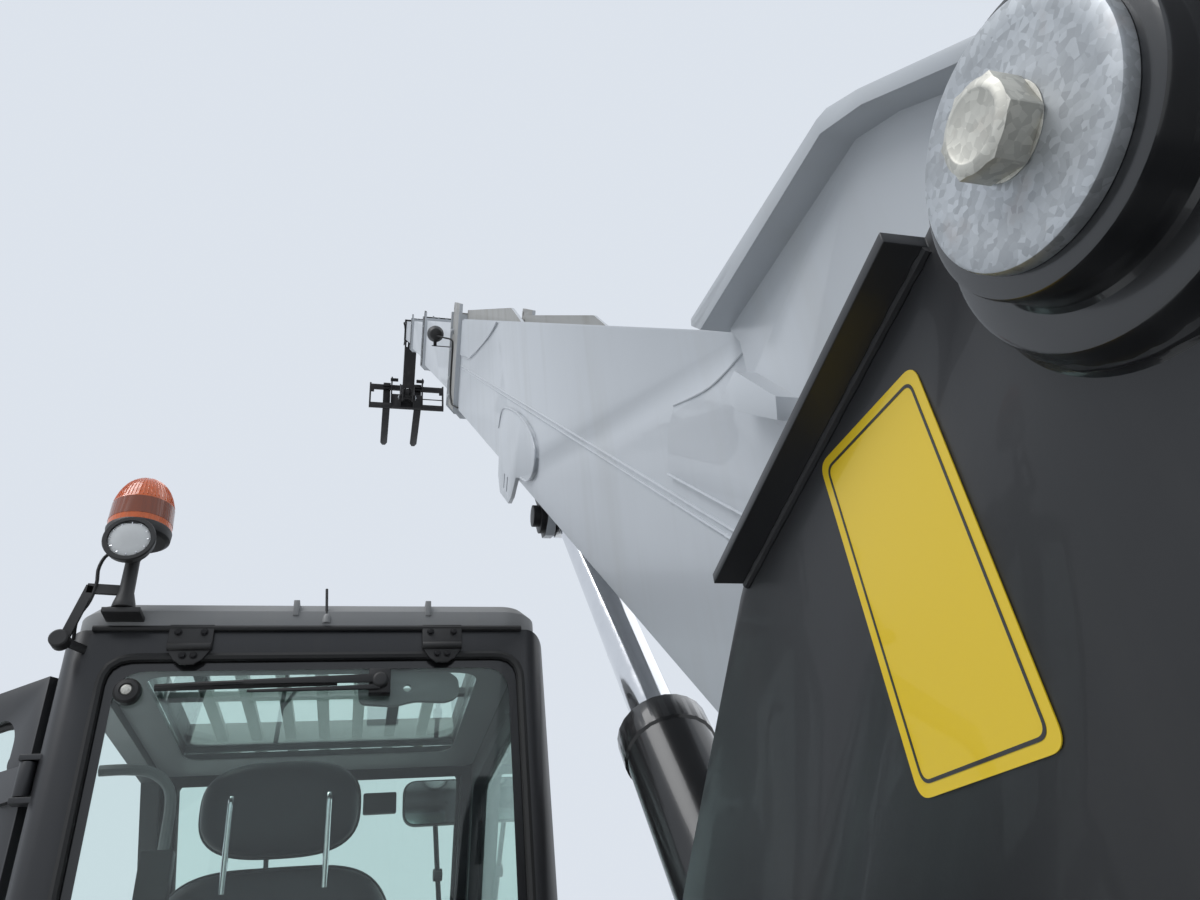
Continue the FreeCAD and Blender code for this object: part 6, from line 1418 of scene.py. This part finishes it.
class HANDLER_OT_tail(bpy.types.Operator):
    """Tail: lamp clusters, reflectors, a blank plate with its lamp, screws and the hitch pin"""
    bl_idname = "handler.tail"
    bl_label = "Tail"

    def execute(self, context):
        lenses = {name: bmesh.new() for name, _ in TAIL_LAMPS}
        housing = bmesh.new()
        for side in (-1, 1):
            y0, y1 = sorted((side * 0.355, side * 0.602))
            shape = [at(TAIL_X, y, z) for y, z in ((y0, 0.985), (y1, 0.985), (y1, 1.075), (y0, 1.075))]
            prism(housing, round_corners(shape, 0.02, 4), BACK * 0.034)
            for name, y in TAIL_LAMPS:
                middle = at(TAIL_X - 0.034, side * y, 1.030)
                lathe(housing, middle, BACK, ((0.0, 0.0), (0.0, 0.038), (0.006, 0.038), (0.006, 0.034)), 32)
                lathe(lenses[name], middle, BACK, ((0.002, 0.0), (0.002, 0.035), (0.011, 0.034), (0.015, 0.027), (0.017, 0.012),
                                                   (0.0175, 0.0)), 32)
            middle = at(TAIL_X, side * 0.300, 0.830)
            lathe(housing, middle, BACK, ((0.0, 0.0), (0.0, 0.042), (0.006, 0.042), (0.006, 0.036)), 32)
            lathe(lenses["red lens"], middle, BACK, ((0.0, 0.0), (0.0, 0.037), (0.007, 0.036), (0.008, 0.0)), 32)
        block(housing, at(TAIL_X - 0.030, -0.060, 1.065), at(TAIL_X, 0.060, 1.095))
        put("tail_housings", housing, "black plastic", "chassis", True, 0.002)
        for name, bm in lenses.items():
            put("tail_" + name.replace(" ", "_"), bm, name, "chassis")
        bm = bmesh.new()
        shape = [at(TAIL_X, y, z) for y, z in ((-0.170, 0.925), (0.170, 0.925), (0.170, 1.045), (-0.170, 1.045))]
        prism(bm, round_corners(shape, 0.012, 4), BACK * 0.004)
        put("tail_blank_plate", bm, "rim paint", "chassis", True, 0.001)
        places = [(at(TAIL_X, s * y, z), BACK) for s in (-1, 1) for y, z in ((0.540, 0.720), (0.540, 0.900), (0.180, 1.165),
                                                                             (0.440, 1.165))]
        screws("tail_screws", places, "black paint", "chassis", 0.030, 0.018, 1.7)
        screws("plate_screws", [(at(TAIL_X - 0.004, s * 0.145, 0.985), BACK) for s in (-1, 1)], "zinc", "chassis", 0.010, 0.005)
        bm = bmesh.new()
        hitch = at(TAIL_X - 0.032, 0, 0.610)
        lathe(bm, hitch, UP, ((0.0, 0.0), (0.0, 0.010), (0.010, 0.0135), (0.155, 0.0135), (0.155, 0.022), (0.170, 0.022),
                              (0.172, 0.019), (0.172, 0.0)), 24)
        put("hitch_pin", bm, "zinc", "chassis")
        loop = [hitch + Vector(p) for p in ((0, -0.018, 0.168), (0, -0.030, 0.200), (0, 0, 0.220), (0, 0.030, 0.200), (0, 0.018, 0.168))]
        lines("hitch_loop", [loop], "zinc", "chassis", 0.004, 0.01, 8)
        return {"FINISHED"}


class HANDLER_OT_front_lamps(bpy.types.Operator):
    """Head lamps with indicators on brackets at the frame's front"""
    bl_idname = "handler.front_lamps"
    bl_label = "Front lamps"

    def execute(self, context):
        ahead = Vector((1, 0, 0))
        shells, glass, amber, places = bmesh.new(), bmesh.new(), bmesh.new(), []
        for side in (-1, 1):
            y0, y1 = sorted((side * 0.258, side * 0.480))
            block(shells, at(3.640, y0, 0.866), at(3.700, y1, 0.874))
            middle = at(3.650, side * 0.390, 0.955)
            lathe(shells, middle, ahead, ((-0.045, 0.0), (-0.045, 0.030), (-0.030, 0.052), (0.010, 0.070), (0.030, 0.073),
                                          (0.042, 0.071), (0.042, 0.064), (0.032, 0.063)), 40)
            lathe(glass, middle, ahead, ((0.028, 0.0), (0.032, 0.0635), (0.042, 0.060), (0.050, 0.040), (0.054, 0.018), (0.055, 0.0)), 40)
            block(shells, middle + Vector((-0.020, -0.012, -0.085)), middle + Vector((0.010, 0.012, -0.060)))
            turn = at(3.680, side * 0.300, 0.910)
            lathe(shells, turn, ahead, ((-0.030, 0.0), (-0.030, 0.022), (0.0, 0.033), (0.010, 0.033), (0.010, 0.029)), 28)
            lathe(amber, turn, ahead, ((0.006, 0.0), (0.006, 0.030), (0.016, 0.027), (0.022, 0.014), (0.024, 0.0)), 28)
            places += [(at(3.670, side * y, 0.874), UP) for y in (0.275, 0.455)]
        put("front_lamps", shells, "black plastic", "chassis", True, 0.0012)
        put("front_lamp_glass", glass, "clear lens", "chassis")
        put("front_indicators", amber, "amber lens", "chassis")
        screws("front_lamp_screws", places, "zinc", "chassis", 0.012, 0.008, 1.6)
        return {"FINISHED"}


class HANDLER_OT_driveline(bpy.types.Operator):
    """Gearbox, drive shafts with their joints, and the axles' screws"""
    bl_idname = "handler.driveline"
    bl_label = "Driveline"

    def execute(self, context):
        x0, x1 = GEARBOX
        bm = bmesh.new()
        section = ((-0.150, 0.540), (0.150, 0.540), (0.185, 0.580), (0.185, 0.740), (0.130, 0.800), (-0.130, 0.800),
                   (-0.185, 0.740), (-0.185, 0.580))
        prism(bm, [at(x0, y, z) for y, z in section], Vector((x1 - x0, 0, 0)))
        for i in range(5):
            x = x0 + 0.08 + i * 0.10
            prism(bm, [at(x, y * 1.04, z + (z - 0.67) * 0.05) for y, z in section], Vector((0.014, 0, 0)))
        put("gearbox", bm, "cast black", "chassis", True, 0.008)
        bm = bmesh.new()
        for a, b in ((at(0.185, 0, SHAFT_Z), at(x0, 0, SHAFT_Z + 0.04)), (at(2.885, 0, SHAFT_Z), at(x1, 0, SHAFT_Z + 0.04))):
            way, long = (b - a).normalized(), (b - a).length
            lathe(bm, a, way, ((-0.01, 0.0), (-0.01, 0.058), (0.014, 0.058), (0.016, 0.040), (0.060, 0.044), (0.085, 0.050),
                               (0.110, 0.044), (0.120, 0.034), (long - 0.120, 0.034), (long - 0.110, 0.044),
                               (long - 0.085, 0.050), (long - 0.060, 0.044), (long - 0.016, 0.040), (long - 0.014, 0.058),
                               (long + 0.01, 0.058), (long + 0.01, 0.0)), 28)
        put("drive_shafts", bm, "bare steel", "chassis")
        for name, x in (("rear", 0.0), ("front", 3.070)):
            places = []
            for side in (-1, 1):
                for i in range(12):
                    t = math.tau * (i + 0.5) / 12
                    places.append((at(x + math.cos(t) * 0.138, side * 0.150, 0.590 + math.sin(t) * 0.138), Y_AXIS * side))
            screws("axle_screws_" + name, places, "zinc", "chassis", 0.017, 0.010, 1.5)
        return {"FINISHED"}


class HANDLER_OT_cylinders(bpy.types.Operator):
    """Glands, feed pipes and pipe clips of the lift and tilt cylinders"""
    bl_idname = "handler.cylinders"
    bl_label = "Cylinders"

    def execute(self, context):
        tilt_lug = on_boom(*NECK_PIN) + TILT_LUG
        for name, foot, eye, reach, radius in (("lift", at(LIFT_FOOT[0], 0, LIFT_FOOT[1]), on_boom(*LIFT_EYE), LIFT_OUT, LIFT_R),
                                               ("tilt", on_boom(*TILT_BASE), tilt_lug, TILT_OUT, TILT_R)):
            way = (eye - foot).normalized()
            top = eye - way * reach
            bm = bmesh.new()
            r = radius
            lathe(bm, top, way, ((-r * 0.75, r + 0.0005), (-r * 0.70, r * 1.06), (-r * 0.10, r * 1.06), (0.0, r * 1.02), (0.004, r * 0.96),
                                 (0.004, r * 0.60)), 56)
            put(name + "_gland", bm, "gloss black", name + "_barrel_body")
            square = way.cross(Y_AXIS)
            start, end = foot + way * (r * 1.9 + (0.17 if name == "lift" else 0.0)), top - way * r * 0.9
            near, far = -Y_AXIS * r * 0.95, -Y_AXIS * (r + 0.018)
            pipe = [start + near, start + far + way * 0.01, start + far + way * 0.06, end + far - way * 0.06,
                    end + far - way * 0.01, end + near]
            lines(name + "_pipe", [pipe], "bolt zinc", name + "_barrel_body", 0.007 if name == "lift" else 0.005, 0.01, 12)
            bm = bmesh.new()
            for share in (0.22, 0.78):
                spot = start.lerp(end, share)
                a, b, skin = square * 0.016, way * 0.012, Y_AXIS * r * -0.97
                prism(bm, [spot - a - b + skin, spot + a - b + skin, spot + a + b + skin, spot - a + b + skin], Y_AXIS * -0.024)
            put(name + "_pipe_clips", bm, "black plastic", name + "_barrel_body", True, 0.002)
        return {"FINISHED"}


class HANDLER_OT_head(bpy.types.Operator):
    """Boom head: pin keepers, the flange's screws and hoses down the neck"""
    bl_idname = "handler.head"
    bl_label = "Boom head"

    def execute(self, context):
        pins, places = bmesh.new(), []
        for side in (-1, 1):
            out = Y_AXIS * side
            pin_head(pins, on_boom(*NECK_PIN, side * 0.141), out, 0.042)
            pin_head(pins, on_boom(*TILT_BASE, side * 0.097), out, 0.036)
            places += [(on_boom(NECK_PIN[0], NECK_PIN[1], side * 0.152), out), (on_boom(*TILT_BASE, side * 0.108), out)]
            for i in range(6):
                places.append((on_boom(LAST_FRONT + 0.022, -0.180 - i * 0.060, side * 0.109), BOOM_DIR))
        put("head_pins", pins, "zinc", "boom_4")
        screws("head_screws", places, "zinc", "boom_4", 0.015, 0.010, 1.5)
        lug = on_boom(*NECK_PIN) + TILT_LUG
        bm = bmesh.new()
        for side in (-1, 1):
            pin_head(bm, lug + Y_AXIS * side * 0.056, Y_AXIS * side, 0.034)
        put("tilt_pin_heads", bm, "zinc", "carriage")
        hoses = []
        for side, drift in ((1, 0.0), (1, 0.022), (-1, 0.0), (-1, 0.022)):
            hoses.append([on_boom(LAST_FRONT + a, w - drift * 0.6, side * y) for a, w, y in (
                (-0.100, -0.200, 0.098), (-0.030, -0.200, 0.106), (0.030, -0.190, 0.136), (0.090 + drift, -0.230, 0.122),
                (0.110 + drift, -0.320, 0.108), (0.100 + drift, -0.420, 0.106), (0.110 + drift, -0.520, 0.108),
                (0.150 + drift, -0.560, 0.112), (0.180 + drift, -0.530, 0.104), (0.170 + drift, -0.480, 0.098))])
        lines("head_hoses", hoses, "seal rubber", "boom_4", 0.0085, 0.012, 10)
        return {"FINISHED"}


class HANDLER_OT_cab_outside(bpy.types.Operator):
    """Door's lock and buffer, and the vent in the cab's rear wall"""
    bl_idname = "handler.cab_outside"
    bl_label = "Cab outside"

    def execute(self, context):
        bm = bmesh.new()
        lathe(bm, at(2.222, CAB_LEFT, 1.361), Y_AXIS, ((0.0, 0.0), (0.0, 0.015), (0.005, 0.014), (0.006, 0.010), (0.009, 0.009),
                                                       (0.009, 0.0)), 24)
        self.to_door(bm)
        put("door_lock", bm, "bolt zinc", "door")
        bm = bmesh.new()
        lathe(bm, at(1.352, CAB_LEFT - 0.022, 2.130), Y_AXIS, ((-0.018, 0.0), (-0.018, 0.021), (-0.010, 0.024), (0.012, 0.024),
                                                              (0.018, 0.019), (0.018, 0.0)), 28)
        self.to_door(bm)
        put("door_buffer", bm, "seal rubber", "door")
        bm, y0, y1 = bmesh.new(), 0.430, 0.890
        frame_ = [at(CAB_REAR, y, z) for y, z in ((y0, 1.030), (y1, 1.030), (y1, 1.210), (y0, 1.210))]
        hole = [at(CAB_REAR, y, z) for y, z in ((y0 + 0.02, 1.050), (y1 - 0.02, 1.050), (y1 - 0.02, 1.190), (y0 + 0.02, 1.190))]
        prism(bm, round_corners(frame_, 0.02, 4), BACK * 0.008, [round_corners(hole, 0.01, 3)])
        for i in range(7):
            z = 1.056 + i * 0.019
            slat = [at(CAB_REAR - 0.001, y0 + 0.018, z), at(CAB_REAR - 0.008, y0 + 0.018, z - 0.004),
                    at(CAB_REAR - 0.008, y0 + 0.018, z), at(CAB_REAR - 0.001, y0 + 0.018, z + 0.012)]
            prism(bm, slat, Y_AXIS * (y1 - y0 - 0.036))
        put("cab_vent", bm, "black plastic", "chassis", True, 0.0008)
        places = [(at(CAB_REAR - 0.008, y, z), BACK) for y in (y0 + 0.011, y1 - 0.011) for z in (1.045, 1.195)]
        screws("cab_vent_screws", places, "black paint", "chassis", 0.008, 0.004, 1.6)
        return {"FINISHED"}

    def to_door(self, bm):
        for v in bm.verts:
            v.co = shut_door(v.co)


class HANDLER_OT_stage(bpy.types.Operator):
    """Floor, soft light and the photograph's camera"""
    bl_idname = "handler.stage"
    bl_label = "Stage"

    def execute(self, context):
        scene = context.scene
        stage = scene.handler_stage
        scene.view_settings.view_transform = "Standard"
        floor_mesh = bpy.data.meshes.new("floor")
        bm = bmesh.new()
        bmesh.ops.create_circle(bm, cap_ends=True, radius=60.0, segments=64)
        bm.to_mesh(floor_mesh)
        bm.free()
        floor = bpy.data.objects.new("floor", floor_mesh)
        scene.collection.objects.link(floor)
        material, s, shader = new_material("floor")
        place = s.add("ShaderNodeTexCoord").outputs["Object"]
        s.wire(s.mix(s.noise(place, 0.8, 4.0), (0.60, 0.61, 0.62, 1), (0.64, 0.65, 0.66, 1)),
               shader.inputs["Base Color"])
        shader.inputs["Roughness"].default_value = 0.9
        floor_mesh.materials.append(material)
        world = bpy.data.worlds.new("studio")
        scene.world = world
        world.use_nodes = True
        world.node_tree.nodes.clear()
        s = Sheet(world.node_tree)
        path = s.add("ShaderNodeLightPath").outputs
        seen = s.math("MAXIMUM", path["Is Camera Ray"], path["Is Transmission Ray"])
        seen = s.math("MAXIMUM", seen, path["Is Glossy Ray"])
        light = s.add("ShaderNodeBackground", {"Color": (0.90, 0.95, 1.0, 1), "Strength": stage.sky})
        view = s.add("ShaderNodeBackground", {"Color": rgba(stage.backdrop), "Strength": 1.0})
        both = s.add("ShaderNodeMixShader", {0: seen, 1: light.outputs[0], 2: view.outputs[0]})
        s.add("ShaderNodeOutputWorld", {"Surface": both.outputs[0]})
        for name, turn, strength, angle in (("key", (35, 0, 200), stage.key, 40), ("fill", (55, 0, 20), 0.5, 60)):
            lamp = bpy.data.lights.new(name, "SUN")
            lamp.energy, lamp.angle = strength, math.radians(angle)
            holder = bpy.data.objects.new(name, lamp)
            holder.rotation_euler = [math.radians(a) for a in turn]
            scene.collection.objects.link(holder)
        self.camera(scene)
        return {"FINISHED"}

    def camera(self, scene):
        yaw, pitch, roll = (math.radians(a) for a in (CAMERA_YAW, CAMERA_PITCH, CAMERA_ROLL))
        ahead = Vector((math.cos(yaw) * math.cos(pitch), math.sin(yaw) * math.cos(pitch), math.sin(pitch)))
        level = Vector((math.sin(yaw), -math.cos(yaw), 0.0))
        upright = level.cross(ahead)
        right = level * math.cos(roll) + upright * math.sin(roll)
        up = upright * math.cos(roll) - level * math.sin(roll)
        data = bpy.data.cameras.new("camera")
        data.lens, data.sensor_width, data.clip_start, data.clip_end = CAMERA_LENS, SENSOR, 0.05, 300.0
        camera = bpy.data.objects.new("camera", data)
        turn = Matrix((right, up, -ahead)).transposed().to_4x4()
        camera.matrix_world = Matrix.Translation(PIVOT + CAMERA_FROM_PIVOT) @ turn
        scene.collection.objects.link(camera)
        scene.camera = camera


class HANDLER_PT_panel(bpy.types.Panel):
    """Sizes, colours and pieces of the handler"""
    bl_idname = "HANDLER_PT_panel"
    bl_label = "Telescopic handler"
    bl_space_type = "VIEW_3D"
    bl_region_type = "UI"
    bl_category = "Handler"

    def draw(self, context):
        for group in (context.scene.handler_colours, context.scene.handler_sizes, context.scene.handler_stage):
            for key in group.__annotations__:
                self.layout.prop(group, key)
        for step in STEPS:
            self.layout.operator(step.bl_idname)


GROUPS = (("handler_colours", HandlerColours), ("handler_sizes", HandlerSizes), ("handler_stage", HandlerStage))
STEPS = (HANDLER_OT_finishes, HANDLER_OT_tyres, HANDLER_OT_rims, HANDLER_OT_steel, HANDLER_OT_boom,
         HANDLER_OT_welds, HANDLER_OT_pivot, HANDLER_OT_seat, HANDLER_OT_windows, HANDLER_OT_rear_window,
         HANDLER_OT_beacon, HANDLER_OT_mirrors, HANDLER_OT_cab_inside, HANDLER_OT_cab_outside, HANDLER_OT_engine_side,
         HANDLER_OT_tank_side, HANDLER_OT_tail, HANDLER_OT_front_lamps, HANDLER_OT_driveline, HANDLER_OT_cylinders,
         HANDLER_OT_head, HANDLER_OT_stage)


def register():
    for name, group in GROUPS:
        bpy.utils.register_class(group)
        setattr(bpy.types.Scene, name, bpy.props.PointerProperty(type=group))
    for one in STEPS + (HANDLER_PT_panel,):
        bpy.utils.register_class(one)


def unregister():
    for one in (HANDLER_PT_panel,) + STEPS[::-1]:
        bpy.utils.unregister_class(one)
    for name, group in GROUPS[::-1]:
        delattr(bpy.types.Scene, name)
        bpy.utils.unregister_class(group)


def main():
    register()
    for step in STEPS:
        area, name = step.bl_idname.split(".")
        getattr(getattr(bpy.ops, area), name)()


if __name__ == "__main__":
    main()
